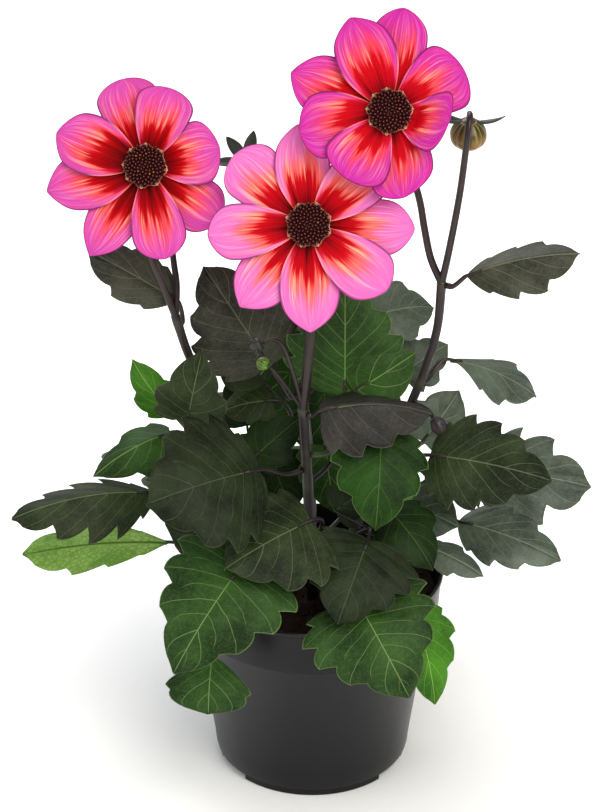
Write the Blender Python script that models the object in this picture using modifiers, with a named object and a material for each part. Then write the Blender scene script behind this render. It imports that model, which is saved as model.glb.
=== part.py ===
"""Potted single dahlia: a plastic nursery pot, its peat, four stems, toothed leaves, open blooms and buds.

Blender 4.5, metres, +Z up. The origin is the middle of the pot's underside and the plant faces along -Y.
Places and sizes in the tables below are millimetres, angles are degrees. Azimuth 0 is +X, -90 the front.
"""

import math
from dataclasses import dataclass

import bmesh
import bpy
from mathutils import Vector

MM = 0.001
CLEAR = 0.3
SOLVER = "MANIFOLD"
PLANT = "potted_dahlia"
HELPERS = "helpers"
SHARP_ANGLE = 35.0

# Pot, an injection-moulded 17 cm nursery pot
POT_HEIGHT = 137.0
RIM_RADIUS = 85.0
RIM_LIP = 1.6
RIM_ROUND = 0.8
BAND_BOTTOM = 106.0
BAND_RADIUS = 81.8
LEDGE_HEIGHT = 3.0
WALL_TOP_RADIUS = 76.6
WALL_FOOT_RADIUS = 63.5
WALL = 1.8
FOOT_HEIGHT = 5.0
FOOT_OUTER = 61.6
FOOT_INNER = 55.6
FLOOR_UNDER = 3.0
FLOOR_TOP = 6.0
BOSS_RADIUS = 14.0
NOTCH_AZIMUTHS = (-30.0, 90.0, 210.0)
NOTCH_WIDTH = 31.0
NOTCH_DEPTH = 16.0
NOTCH_HEIGHT = 3.6
DRAIN_COUNT = 6
DRAIN_SIDES = 8
DRAIN_RADIUS = 4.0
DRAIN_CIRCLE = 36.0
POT_SIDES = 24

# Peat
PEAT_TOP = 123.0
PEAT_LUMPS = 1.6
PEAT_RINGS = (0.0, 26.0, 52.0)
HOLE_CLEAR = 0.75
HOLE_SIDES = 8

# Stems: places on each centre line with the radius there
STEMS = {
    "a": [
        ((-15, -3, 108), 3.6), ((-15, -3, 127), 3.6), ((-34, -3, 185), 3.3), ((-56, -2, 240), 3.1),
        ((-76, 0, 285), 3.0), ((-85, 0, 315), 3.1),
    ],
    "b": [
        ((0, -17, 108), 3.9), ((0, -17, 127), 3.9), ((-2, -26, 185), 3.6), ((-4, -33, 230), 3.4),
        ((-6, -40, 270), 3.6),
    ],
    "c": [
        ((17, -1, 108), 3.8), ((17, -1, 127), 3.8), ((34, 2, 185), 3.4), ((56, 2, 238), 3.1),
        ((70, 0, 279), 2.9), ((77, 0, 307), 2.8), ((79, 0, 337), 3.1),
    ],
    "d": [
        ((1, 15, 108), 3.4), ((1, 15, 127), 3.4), ((-2, 28, 200), 3.1), ((-8, 37, 260), 2.9),
        ((-15, 40, 305), 2.6), ((-29, 32, 355), 2.2), ((-38, 20, 394), 1.8), ((-40, 12, 410), 1.6),
    ],
}

# Side shoots of a stem: stalks of blooms and buds, as (stem, places, radii at the two ends)
SHOOTS = {
    "left": ("a", [(-85, 0, 315), (-92, -3, 337), (-98, -4, 356), (-103, 4, 385)], (2.4, 2.0)),
    "bud_back": ("a", [(-85, 0, 315), (-84, 4, 334), (-86, 10, 350), (-88, 22, 372), (-87, 30, 386)],
                 (2.3, 1.7)),
    "middle": ("b", [(-6, -40, 270), (-3, -41, 305), (-1, -38, 340), (-2, -31, 366)], (3.2, 2.6)),
    "bud_hooked": ("b", [(-6, -40, 270), (-12, -43, 296), (-18, -45, 315), (-24, -47, 321), (-30, -48, 319)],
                   (1.6, 1.0)),
    "bud_green": ("b", [(-6, -40, 270), (-17, -42, 288), (-24, -44, 299), (-27.5, -45, 302)], (1.3, 0.9)),
    "right": ("c", [(79, 0, 337), (72, 2, 353), (68, 4, 371), (64, 6, 392), (55, 4, 420)], (2.4, 2.1)),
    "bud_nodding": ("c", [(79, 0, 337), (83, -2, 361), (88, -5, 397), (91, -9, 431), (92, -8, 442),
                          (93, -4, 446.5), (93, 1, 447), (93, 4, 445), (93, 4.6, 442)], (2.3, 1.6)),
    "bud_striped": ("c", [(61, 1, 254), (67, -8, 257), (72, -12.5, 256), (75, -14, 252)], (1.6, 1.3)),
}

# Blooms
PETAL_THICKNESS = 0.7
PETAL_FOOT = 5.0
PETAL_ROWS = (0.0, 0.26, 0.5, 0.7, 0.87, 1.0)
PETAL_COLUMNS = 3
PETAL_TIP = 1.95
PETAL_RISE = 7.0
PETAL_FALL = 5.5
PETAL_CUPPING = (0.010, 0.004, -0.002)
LEAN_FROM = 16.0
TIER_STEP = 1.3
PLATE_RADIUS = 9.0
PLATE_OVER = 1.5
PLATE_UNDER = 1.2
DISC_LIFT = 1.9
DISC_DOME = 4.6
DISC_FLANK = 3.4
DISC_TAPER = 1.2
DISC_RINGS = 5
FLORET_HEIGHT = 0.9
CUP_DEPTH = 9.0
CUP_RADIUS = 9.4
CUP_TAPER = 0.6
CUP_SHOULDER = 5.0
CUP_FOOT = 4.2
CUP_SIDES = 10
PEDUNCLE = 7.0

# Outer bracts behind a bloom: length, width, opening angle, the circle they stand on, and their directions
CUP_BRACT = (17.0, 6.0, 104.0, 6.0)
CUP_BRACTS = (20.0, 92.0, 164.0, 236.0, 308.0)
BRACT_SINK = 0.5
BUD_BRACT_LIFT = 0.9

# Leaf blades
BLADE_THICKNESS = 0.7
TOOTH_PEAK = 0.72
VEIN_SWEEP = 2.0
WAVE = 1.5
SHAPE_TIP = 0.9
STALK_GAP = 0.45
STALK_TAPER = (1.0, 1.0, 0.85, 0.5)
LEAFLET_STALK = (0.9, 0.6)

# Finishes: the colour in sRGB and the roughness
FINISHES = {
    "pot": ("3B3C3F", 0.42),
    "peat": ("2A1C14", 0.95),
    "stem": ("3A2226", 0.5),
    "leaf_dark": ("34382E", 0.5),
    "leaf_green": ("2F5A22", 0.5),
    "leaf_bright": ("4A8A22", 0.5),
    "leaf_pale": ("7FA03A", 0.5),
    "petal": ("F0408C", 0.5),
    "disc": ("2A0C0C", 0.6),
    "cup": ("4A5A24", 0.5),
    "bud": ("6B6A24", 0.45),
}


@dataclass(frozen=True)
class Blade:
    """One leaf or leaflet: where its blade starts and ends, its width and the way its upper face looks."""

    base: tuple
    tip: tuple
    width: float
    face: tuple
    arch: float = 5.0
    fold: float = 8.0
    teeth: int = 4
    back: float = 0.14
    full: float = 0.55
    bite: float = 0.20


@dataclass(frozen=True)
class Leaf:
    """A leaf on its stalk: the stem and height it grows from, its finish and its blades."""

    name: str
    stem: str
    height: float
    tone: str
    blades: tuple
    stalk: float = 1.5
    rise: float = 0.0


LEAVES = [
    Leaf("leaf_a1", "a", 308, "dark", (
        Blade((-84, 8, 322), (-140, 26, 348), 38, (-90, 35), 5, 4, 3, 0.0, 0.8),
    )),
    Leaf("leaf_a2", "a", 246, "dark", (Blade((-78, -16, 252), (-68, -20, 301), 50, (-95, 12), 3, -14, 3),)),
    Leaf("leaf_a3", "a", 226, "bright", (Blade((-89, 10, 243), (-113, 4, 283), 34, (-110, 20), 4, 10, 3),)),
    Leaf("leaf_a4", "a", 206, "green", (
        Blade((-91, 12, 228), (-139, -10, 208), 48, (-105, 52), 7, 34, 3),
    )),
    Leaf("leaf_a5", "a", 180, "dark", (
        Blade((-98, -22, 203), (-187, -50, 200), 62, (-97, 68), 9, 32, 5, 0.0, 0.8, 0.32),
    )),
    Leaf("leaf_a6", "a", 152, "pale", (
        Blade((-91, -18, 165), (-184, -30, 163), 60, (90, 28), 4, 8, 4, 0.0, 1.3),
    )),
    Leaf("leaf_a7", "a", 208, "green", (
        Blade((-37, -18, 226), (-8, -2, 246), 36, (-95, 30), 3, 8, 3),
        Blade((-26, 4, 214), (-14, 10, 172), 48, (-95, 30), 3, 8, 3),
        Blade((-42, 26, 226), (-46, 28, 266), 42, (-95, 30), 3, 8, 3),
    )),
    Leaf("leaf_a8", "a", 142, "green", (
        Blade((-62, -87, 127), (-65, -101, 89), 56, (-100, 12), 4, -8, 3, 0.0, 1.5, 0.12),
    ), rise=22),
    Leaf("leaf_a9", "a", 192, "green", (Blade((-96, 44, 196), (-140, 76, 176), 56, (118, 60), 8, 10, 3),)),
    Leaf("leaf_a10", "a", 160, "dark", (Blade((-68, 66, 176), (-112, 112, 134), 68, (125, 55), 10, 10, 3),)),
    Leaf("leaf_b1", "b", 268, "dark", (Blade((5, -50, 275), (72, -44, 270), 66, (-95, 64), 8, 40, 4, 0.06),)),
    Leaf("leaf_b2", "b", 214, "green", (
        Blade((20, -8, 264), (20, 14, 332), 78, (-90, 18), 4, 4, 5, 0.0),
        Blade((26, -10, 268), (64, 0, 290), 46, (-85, 22), 3, 6, 2),
        Blade((8, 4, 222), (14, 8, 172), 42, (-90, 30), 3, 8, 3),
    )),
    Leaf("leaf_b3", "b", 236, "bright", (
        Blade((42, -42, 256), (38, -76, 206), 62, (-84, 26), 5, 8, 4, 0.1),
    )),
    Leaf("leaf_b4", "b", 226, "dark", (
        Blade((-34, -54, 236), (-100, -90, 232), 94, (-100, 36), 8, 8, 5, 0.12, 0.85),
    )),
    Leaf("leaf_b5", "b", 182, "dark", (
        Blade((-2, -66, 207), (-54, -92, 188), 84, (-95, 60), 3, 12, 4, 0.16),
        Blade((-38, -56, 196), (-92, -50, 196), 54, (-95, 40), 3, 8, 2, 0.0, 0.9),
    )),
    Leaf("leaf_b6", "b", 176, "dark", (
        Blade((34, -68, 195), (15, -106, 158), 76, (-90, 38), 5, 8, 5, 0.12),
        Blade((14, -40, 200), (33, -36, 212), 32, (-90, 35), 3, 8, 2),
    )),
    Leaf("leaf_b7", "b", 152, "green", (
        Blade((-44, -80, 183), (-85, -120, 131), 88, (-105, 30), 8, 6, 5, 0.27),
    )),
    Leaf("leaf_b8", "b", 140, "green", (
        Blade((28, -86, 160), (59, -121, 114), 88, (-85, 28), 8, 6, 5, 0.22),
    )),
    Leaf("leaf_c1", "c", 336.4, "dark", (
        Blade((94, -6, 345), (161, -16, 364), 49, (-90, 60), 6, 32, 4, 0.0, 0.85),
    )),
    Leaf("leaf_c2", "c", 268, "dark", (
        Blade((86, 18, 277), (141, 4, 258), 50, (-80, 84), 5, 12, 4, 0.0, 1.6),
    )),
    Leaf("leaf_c3", "c", 246, "dark", (Blade((58, 18, 268), (86, 32, 281), 38, (-80, 40), 4, 8, 3),)),
    Leaf("leaf_c4", "c", 218, "green", (Blade((70, 4, 226), (93, 16, 256), 46, (-75, 32), 4, 8, 3),)),
    Leaf("leaf_c5", "c", 206, "dark", (
        Blade((73, -32, 235), (146, -64, 234), 66, (-82, 42), 7, 12, 5, 0.08),
    )),
    Leaf("leaf_c6", "c", 184, "dark", (
        Blade((96, 22, 196), (179, 8, 191), 72, (-80, 46), 8, 14, 4, 0.0, 0.8, 0.34),
    )),
    Leaf("leaf_c7", "c", 164, "green", (
        Blade((93, -14, 178), (157, -36, 162), 46, (-75, 50), 6, 10, 4, 0.0, 0.65),
        Blade((62, -18, 192), (92, -32, 184), 42, (-75, 36), 3, 8, 2),
    )),
    Leaf("leaf_c8", "c", 152, "green", (
        Blade((66, -39, 176), (107, -54, 161), 26, (-75, 60), 4, 20, 3, 0.0, 0.8),
    )),
    Leaf("leaf_c9", "c", 176, "green", (Blade((48, -44, 202), (74, -72, 176), 46, (-72, 40), 5, 8, 3),)),
    Leaf("leaf_c10", "c", 140, "bright", (
        Blade((63, -80, 150), (76, -102, 97), 46, (-66, 18), 5, 6, 4),
    ), rise=20),
    Leaf("leaf_c11", "c", 216, "green", (Blade((80, 50, 206), (114, 94, 178), 58, (60, 60), 8, 10, 3),)),
    Leaf("leaf_c12", "c", 170, "dark", (Blade((72, 66, 172), (116, 110, 130), 66, (50, 55), 10, 10, 3),)),
    Leaf("leaf_d1", "d", 246, "dark", (Blade((-27, 2, 280), (-68, 22, 339), 74, (-90, 28), 6, 6, 5, 0.05),)),
    Leaf("leaf_d2", "d", 272, "dark", (Blade((37, 26, 303), (77, 42, 302), 50, (-82, 48), 6, 10, 4),)),
    Leaf("leaf_d3", "d", 222, "dark", (
        Blade((-26, 6, 254), (-58, 6, 246), 34, (-95, 50), 4, 12, 3),
        Blade((-30, 14, 262), (-60, 14, 286), 42, (-95, 30), 3, 8, 2),
    )),
    Leaf("leaf_d4", "d", 244, "green", (
        Blade((8, 52, 256), (8, 64, 180), 78, (-90, 22), 6, 6, 4, 0.1),
        Blade((-4, 54, 264), (-16, 58, 312), 54, (-95, 20), 4, 6, 2),
        Blade((-6, 53, 258), (-42, 56, 224), 54, (-95, 20), 3, 6, 2),
    )),
    Leaf("leaf_d5", "d", 214, "dark", (Blade((-46, 76, 220), (-74, 124, 190), 60, (105, 60), 8, 10, 3),)),
    Leaf("leaf_d6", "d", 176, "green", (Blade((6, 92, 176), (6, 142, 130), 72, (90, 55), 10, 8, 3),)),
    Leaf("leaf_d7", "d", 150, "green", (Blade((-28, 88, 158), (-50, 130, 112), 60, (100, 50), 8, 8, 3),)),
    Leaf("leaf_d8", "d", 146, "bright", (Blade((44, 86, 156), (62, 126, 108), 58, (75, 50), 8, 8, 3),)),
]


@dataclass(frozen=True)
class Petal:
    """One ray floret from the front: direction, reach, width, tier, lean, bluntness and sideways bend."""

    angle: float
    reach: float
    width: float
    tier: int
    lean: float = 0.0
    blunt: float = 2.4
    skew: float = 0.0


@dataclass(frozen=True)
class Bloom:
    """An open flower head: the middle of its disc, the way it looks, its disc and its petals."""

    name: str
    centre: tuple
    face: tuple
    disc: float
    petals: tuple


BLOOMS = [
    Bloom("left", (-100, -14, 419.2), (-92, 28), 12.4, (
        Petal(106, 54, 36, 2, 0, 3.8), Petal(72, 48.5, 34, 0, 6, 3.6), Petal(14, 46, 38, 1, 8, 3.0),
        Petal(-35, 55, 33, 2, 0, 3.0), Petal(-77, 56.5, 32, 0, 0, 3.2), Petal(-121, 62.5, 31, 2, 0, 2.1),
        Petal(-165, 60.5, 35, 1, 0, 2.2), Petal(160, 56.5, 36, 0, 0, 2.5),
    )),
    Bloom("middle", (-3, -46, 394.8), (-90, 27), 12.6, (
        Petal(96, 59.5, 33, 1, 0, 2.2), Petal(42, 58, 35, 0, 0, 3.0), Petal(-2, 62.5, 34, 2, 0, 2.6),
        Petal(-42, 60, 35, 0, 0, 3.0, 0.15), Petal(-89, 63, 36, 1, 0, 2.3), Petal(-130, 62.5, 35, 2, 0, 2.3),
        Petal(-174, 59.5, 33, 0, 0, 3.0), Petal(137, 60, 36, 2, 0, 3.6),
    )),
    Bloom("right", (44, -30, 459.3), (-88, 26), 12.6, (
        Petal(112, 59, 36, 0, 0, 2.3), Petal(81, 61, 33, 2, 0, 2.8), Petal(30, 50, 40, 1, 0, 3.6),
        Petal(-20, 39.5, 36, 0, 40, 3.8, 0.2), Petal(-73, 50, 38, 2, 0, 3.0, -0.4),
        Petal(-124, 46.5, 39, 0, 0, 3.6), Petal(-171, 53.5, 38, 1, 0, 3.2, 0.15),
        Petal(157.5, 61.5, 37, 2, 0, 2.3),
    )),
]


@dataclass(frozen=True)
class Bud:
    """A closed bud on the end of a shoot: its size, its ribs, its outer bracts and its body's form.

    The form is two powers: the first moves the widest place towards the tip, the second makes it less boxy.
    """

    name: str
    radius: float
    length: float
    ribs: int
    bract: tuple
    spread: float
    bracts: tuple
    finish: str
    form: tuple = (0.8, 0.6)


BUDS = [
    Bud("bud_nodding", 11.2, 19.5, 8, (19.0, 4.2), 94.0, (4, 178, 200), "bud", (1.1, 0.42)),
    Bud("bud_hooked", 4.2, 8.0, 6, (9.0, 3.2), 50.0, (0, 90, 180, 270), "cup"),
    Bud("bud_green", 4.0, 8.0, 6, (6.0, 3.0), 75.0, (45, 135, 225, 315), "leaf_bright"),
    Bud("bud_striped", 5.0, 15.0, 6, (8.0, 3.2), 40.0, (0, 90, 180, 270), "disc"),
    Bud("bud_back", 6.0, 12.0, 6, (14.0, 5.0), 80.0, (0, 72, 144, 216, 288), "bud"),
    Bud("bud_star", 5.0, 9.0, 6, (21.0, 7.6), 66.0, (75, 123, 188, 250, 315), "cup"),
]


def unit(azimuth, elevation):
    """The direction of an azimuth and elevation in degrees."""
    a, e = math.radians(azimuth), math.radians(elevation)
    return Vector((math.cos(a) * math.cos(e), math.sin(a) * math.cos(e), math.sin(e)))


def material(name):
    """One of the plant's finishes, made once."""
    found = bpy.data.materials.get(name)
    if found:
        return found
    made = bpy.data.materials.new(name)
    made.use_nodes = True
    shader = made.node_tree.nodes["Principled BSDF"]
    code, roughness = FINISHES[name]
    parts = [int(code[i:i + 2], 16) / 255 for i in (0, 2, 4)]
    linear = [c / 12.92 if c <= 0.04045 else ((c + 0.055) / 1.055) ** 2.4 for c in parts]
    shader.inputs["Base Color"].default_value = (*linear, 1.0)
    shader.inputs["Roughness"].default_value = roughness
    shader.inputs["Metallic"].default_value = 0.0
    made.diffuse_color = (*linear, 1.0)
    return made


def collection(name, shown=True):
    """A collection of the scene, made once."""
    found = bpy.data.collections.get(name)
    if not found:
        found = bpy.data.collections.new(name)
        bpy.context.scene.collection.children.link(found)
        found.hide_render = not shown
    return found


def helper(name, data):
    """An object that shapes others or becomes part of one, drawn as wire and left out of renders."""
    made = bpy.data.objects.new(name, data)
    made.display_type = "WIRE"
    made.hide_render = True
    collection(HELPERS, False).objects.link(made)
    return made


def piece_of_plant(name, mesh, finish):
    """A finished sub-part, shaded smooth up to its sharp edges, with its one material."""
    made = bpy.data.objects.new(name, mesh)
    collection(PLANT).objects.link(made)
    mesh.shade_smooth()
    mesh.set_sharp_from_angle(angle=math.radians(SHARP_ANGLE))
    mesh.materials.clear()
    mesh.materials.append(material(finish))
    return made


def mesh_of(bm, name):
    """A mesh from a bmesh, which is freed."""
    mesh = bpy.data.meshes.new(name)
    bm.to_mesh(mesh)
    bm.free()
    return mesh


def bake(obj):
    """Replaces an object's mesh by what its modifiers make of it."""
    bpy.context.view_layer.update()
    graph = bpy.context.evaluated_depsgraph_get()
    mesh = bpy.data.meshes.new_from_object(obj.evaluated_get(graph))
    obj.modifiers.clear()
    obj.data = mesh
    return obj


def boolean(obj, operation, other=None, group=None):
    """Adds a Boolean with an object or a collection and applies it."""
    modifier = obj.modifiers.new(operation.lower(), "BOOLEAN")
    modifier.operation = operation
    modifier.solver = SOLVER
    if group:
        modifier.operand_type = "COLLECTION"
        modifier.collection = group
    else:
        modifier.object = other
    return bake(obj)


def fuse(name, pieces, finish):
    """One solid out of several overlapping ones."""
    first, rest = pieces[0], pieces[1:]
    if rest:
        group = bpy.data.collections.new("joined")
        for piece in rest:
            group.objects.link(piece)
        boolean(first, "UNION", group=group)
        for piece in rest:
            bpy.data.objects.remove(piece)
        bpy.data.collections.remove(group)
    mesh = first.data
    bpy.data.objects.remove(first)
    return piece_of_plant(name, mesh, finish)


def curved_route(points, steps):
    """Points of a smooth curve through the given ones, with this many steps between each two."""
    points = [Vector(p) for p in points]
    ends = [points[0] * 2 - points[1], *points, points[-1] * 2 - points[-2]]
    route = []
    for i in range(1, len(ends) - 2):
        p0, p1, p2, p3 = ends[i - 1:i + 3]
        for k in range(steps):
            t = k / steps
            route.append(0.5 * (2 * p1 + (p2 - p0) * t + (2 * p0 - 5 * p1 + 4 * p2 - p3) * t ** 2
                                + (3 * p1 - 3 * p2 + p3 - p0) * t ** 3))
    return [*route, points[-1]]


def tube(points, radii, sides=6):
    """A closed tube along points in millimetres, whose radius runs evenly through the given ones."""
    curve = bpy.data.curves.new("tube", "CURVE")
    curve.dimensions = "3D"
    curve.bevel_depth = MM
    curve.bevel_resolution = (sides - 4) // 2
    curve.use_fill_caps = True
    spline = curve.splines.new("POLY")
    spline.points.add(len(points) - 1)
    for i, point in enumerate(points):
        at = i / (len(points) - 1) * (len(radii) - 1)
        low = min(int(at), len(radii) - 2)
        spline.points[i].co = (*(Vector(point) * MM), 1.0)
        spline.points[i].radius = radii[low] + (radii[low + 1] - radii[low]) * (at - low)
    holder = helper("tube", curve)
    bpy.context.view_layer.update()
    mesh = bpy.data.meshes.new_from_object(holder.evaluated_get(bpy.context.evaluated_depsgraph_get()))
    bm = bmesh.new()
    bm.from_mesh(mesh)
    bmesh.ops.remove_doubles(bm, verts=bm.verts, dist=1e-6)
    bm.to_mesh(mesh)
    bm.free()
    made = helper("tube_mesh", mesh)
    bpy.data.objects.remove(holder)
    return made


def turned(name, profile, sides):
    """A solid turned about Z from a profile of (radius, height) whose two ends lie on the axis."""
    bm = bmesh.new()
    verts = [bm.verts.new((r * MM, 0, z * MM)) for r, z in profile]
    for a, b in zip(verts, verts[1:]):
        bm.edges.new((a, b))
    made = helper(name, mesh_of(bm, name))
    screw = made.modifiers.new("turn", "SCREW")
    screw.steps = screw.render_steps = sides
    screw.use_merge_vertices = True
    screw.merge_threshold = 1e-5
    return bake(made)


def rod(radius, low, high, x, y, sides):
    """An upright cylinder between two heights."""
    bm = bmesh.new()
    bmesh.ops.create_cone(bm, cap_ends=True, segments=sides, radius1=radius * MM, radius2=radius * MM,
                          depth=(high - low) * MM)
    bmesh.ops.translate(bm, verts=bm.verts, vec=Vector((x, y, (low + high) / 2)) * MM)
    return helper("rod", mesh_of(bm, "rod"))


def cut(obj, cutter):
    """Takes a cutter out of an object and removes the cutter."""
    boolean(obj, "DIFFERENCE", other=cutter)
    bpy.data.objects.remove(cutter)


def build_pot():
    """The pot: tapered wall, stepped rim band, floor with drain holes, notched foot ring and middle boss."""
    ledge = BAND_BOTTOM - LEDGE_HEIGHT
    profile = [
        (0, FLOOR_TOP), (WALL_FOOT_RADIUS - WALL, FLOOR_TOP), (WALL_TOP_RADIUS - WALL, ledge),
        (BAND_RADIUS - WALL, BAND_BOTTOM), (RIM_RADIUS - RIM_LIP - WALL, POT_HEIGHT - 2 * RIM_LIP),
        (RIM_RADIUS - RIM_LIP, POT_HEIGHT), (RIM_RADIUS, POT_HEIGHT - RIM_ROUND),
        (RIM_RADIUS - RIM_ROUND, POT_HEIGHT - 3 * RIM_LIP), (BAND_RADIUS, BAND_BOTTOM),
        (WALL_TOP_RADIUS, ledge),
        (WALL_FOOT_RADIUS, FOOT_HEIGHT), (FOOT_OUTER, FOOT_HEIGHT), (FOOT_OUTER, 0), (FOOT_INNER, 0),
        (FOOT_INNER, FLOOR_UNDER), (BOSS_RADIUS, FLOOR_UNDER), (BOSS_RADIUS, 0), (0, 0),
    ]
    pot = turned("pot", profile, POT_SIDES)
    for azimuth in NOTCH_AZIMUTHS:
        bm = bmesh.new()
        bmesh.ops.create_cube(bm, size=1.0)
        bmesh.ops.scale(bm, verts=bm.verts, vec=Vector((NOTCH_DEPTH, NOTCH_WIDTH, 2 * NOTCH_HEIGHT)) * MM)
        notch = helper("notch", mesh_of(bm, "notch"))
        notch.rotation_euler.z = math.radians(azimuth)
        notch.location = unit(azimuth, 0) * (FOOT_OUTER + FOOT_INNER) / 2 * MM
        cut(pot, notch)
    for i in range(DRAIN_COUNT):
        at = unit(i * 360 / DRAIN_COUNT, 0) * DRAIN_CIRCLE
        cut(pot, rod(DRAIN_RADIUS, 0, 2 * FLOOR_TOP, at.x, at.y, DRAIN_SIDES))
    return fuse("pot", [pot], "pot")


def lump(x, y):
    """How far the peat's surface stands out at a place."""
    across = math.sin(x * 0.31 + 1.3 * math.sin(y * 0.17))
    along = math.cos(y * 0.27 - 0.9 * math.sin(x * 0.13))
    return PEAT_LUMPS * (across + along) / 2


def build_peat():
    """The peat, a plug that fills the pot, with a lumpy top and a plain hole round each stem."""
    ledge = BAND_BOTTOM - LEDGE_HEIGHT
    slope = (RIM_RADIUS - RIM_LIP - BAND_RADIUS) / (POT_HEIGHT - 2 * RIM_LIP - BAND_BOTTOM)
    edge = BAND_RADIUS - WALL + slope * (PEAT_TOP - BAND_BOTTOM) - 3 * CLEAR
    side = WALL + 2 * CLEAR
    profile = [
        *[(r, PEAT_TOP) for r in PEAT_RINGS], (edge, PEAT_TOP - 2 * PEAT_LUMPS),
        (BAND_RADIUS - side, BAND_BOTTOM + 2 * CLEAR), (WALL_TOP_RADIUS - side, ledge),
        (WALL_FOOT_RADIUS - side, FLOOR_TOP + CLEAR), (0, FLOOR_TOP + CLEAR),
    ]
    peat = turned("peat", profile, POT_SIDES)
    for vertex in peat.data.vertices:
        if vertex.co.z > (PEAT_TOP - 1) * MM:
            vertex.co.z += lump(vertex.co.x / MM, vertex.co.y / MM) * MM
    for points in STEMS.values():
        (x, y, low), radius = points[0]
        cut(peat, rod(radius + HOLE_CLEAR, low - CLEAR, PEAT_TOP + 10, x, y, HOLE_SIDES))
    return fuse("peat", [peat], "peat")


def stem_route(letter, steps=2):
    """The centre line of a stem and the radii along it."""
    table = STEMS[letter]
    foot, rest = Vector(table[0][0]), [p for p, _ in table[1:]]
    return [foot, *curved_route(rest, steps)], [r for _, r in table[1:]]


def stem_at(letter, height):
    """The place, direction and radius of a stem at a height in millimetres."""
    route, radii = stem_route(letter)
    for i, (low, high) in enumerate(zip(route, route[1:])):
        if low.z <= height <= high.z:
            t = (height - low.z) / (high.z - low.z)
            at = (i + t) / (len(route) - 1) * (len(radii) - 1)
            k = min(int(at), len(radii) - 2)
            radius = radii[k] + (radii[k + 1] - radii[k]) * (at - k)
            return low.lerp(high, t), (high - low).normalized(), radius
    raise ValueError(f"stem {letter} doesn't pass height {height}")


def shoot_places(name):
    """The places of a shoot, which for a bloom's stalk end square to the back of its cup."""
    places = list(SHOOTS[name][1])
    for bloom in BLOOMS:
        if bloom.name == name:
            out = unit(*bloom.face)
            depth = TIER_STEP * 2 + PLATE_UNDER + 2 * CLEAR + CUP_DEPTH
            places += [Vector(bloom.centre) - out * (depth + PEDUNCLE), Vector(bloom.centre) - out * depth]
    return places


def build_stems():
    """The four stems, each with the stalks of its blooms and buds."""
    for letter in STEMS:
        route, radii = stem_route(letter)
        pieces = [tube(route, radii, 6)]
        for name, (stem, _, ends) in SHOOTS.items():
            if stem == letter:
                pieces.append(tube(shoot_places(name), ends, 6))
        fuse(f"stem_{letter}", pieces, "stem")


def tooth(u, teeth):
    """How far out the margin stands at u, from 0 in a notch to 1 at a tooth's point."""
    phase = u * teeth % 1.0
    if u >= 1.0:
        return 0.5
    if phase <= TOOTH_PEAK:
        return math.sin(math.pi / 2 * (phase / TOOTH_PEAK) ** 0.8)
    return 1.0 - ((phase - TOOTH_PEAK) / (1 - TOOTH_PEAK)) ** 0.8


def blade_frame(blade):
    """Base, chord, side and upper normal of a blade, in millimetres."""
    base, tip = Vector(blade.base), Vector(blade.tip)
    chord = tip - base
    along = chord.normalized()
    face = unit(*blade.face)
    normal = (face - along * face.dot(along)).normalized()
    return base, chord, normal.cross(along), normal


def blade_point(blade, u, v):
    """A point of the blade's middle surface: u runs along the side veins' feet, v between the margins."""
    base, chord, side, normal = blade_frame(blade)
    peak = blade.full / (blade.full + SHAPE_TIP)
    top = peak ** blade.full * (1 - peak) ** SHAPE_TIP
    half = blade.width / 2 * (u ** blade.full * (1 - u) ** SHAPE_TIP) / top
    reach = abs(v) * (1 - blade.bite * (1 - tooth(u, blade.teeth)))
    foot = u ** VEIN_SWEEP
    margin = u - blade.back * 4 * math.sqrt(u) * (1 - math.sqrt(u))
    along = foot + (margin - foot) * reach
    across = half * reach
    turn = math.radians(blade.fold)
    lift = blade.arch * 4 * along * (1 - along) - across * math.sin(turn)
    lift += WAVE * blade.width / 60 * reach ** 2 * math.sin(9 * u + blade.width + (2.3 if v > 0 else 0.0))
    return base + chord * along + side * math.copysign(across * math.cos(turn), v) + normal * lift


def build_blade(blade):
    """A blade as a closed thin solid: a grid bent to the leaf's form and thickened."""
    columns = (-1.0, 0.0, 1.0)
    rows = [0.0]
    for i in range(blade.teeth):
        rows += [(i + TOOTH_PEAK) / blade.teeth, (i + 1) / blade.teeth]
    bm = bmesh.new()
    bmesh.ops.create_grid(bm, x_segments=len(rows) - 1, y_segments=len(columns) - 1, size=1.0)
    for vertex in bm.verts:
        row = round((vertex.co.x + 1) / 2 * (len(rows) - 1))
        column = round((vertex.co.y + 1) / 2 * (len(columns) - 1))
        vertex.co = blade_point(blade, rows[row], columns[column]) * MM
    return thicken(bm, BLADE_THICKNESS)


def thicken(bm, thickness):
    """Merges a bent grid's closed ends, splits it into triangles and gives it a thickness."""
    bmesh.ops.remove_doubles(bm, verts=bm.verts, dist=1e-5)
    bmesh.ops.dissolve_degenerate(bm, edges=bm.edges, dist=1e-5)
    bmesh.ops.triangulate(bm, faces=bm.faces)
    made = helper("blade", mesh_of(bm, "blade"))
    solid = made.modifiers.new("thickness", "SOLIDIFY")
    solid.thickness = thickness * MM
    solid.offset = 0.0
    return bake(made)


def stalk_route(leaf, blade, start, out):
    """The stalk's centre line from the stem to the blade, and on along the rib."""
    base = Vector(blade.base)
    first = blade_point(blade, 0.14 ** (1 / VEIN_SWEEP), 0.0)
    heading = (blade_point(blade, 0.1 ** (1 / VEIN_SWEEP), 0.0) - base).normalized()
    pull = (base - start).length * 0.45
    begin = start + out * 2.5
    a, b = begin + out * pull + Vector((0, 0, leaf.rise)), base - heading * pull
    b += Vector((0, 0, leaf.rise))
    route = [start]
    for k in range(4):
        t = k / 3
        s = 1 - t
        route.append(begin * s ** 3 + a * 3 * t * s ** 2 + b * 3 * t ** 2 * s + base * t ** 3)
    return [*route, first]


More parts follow.
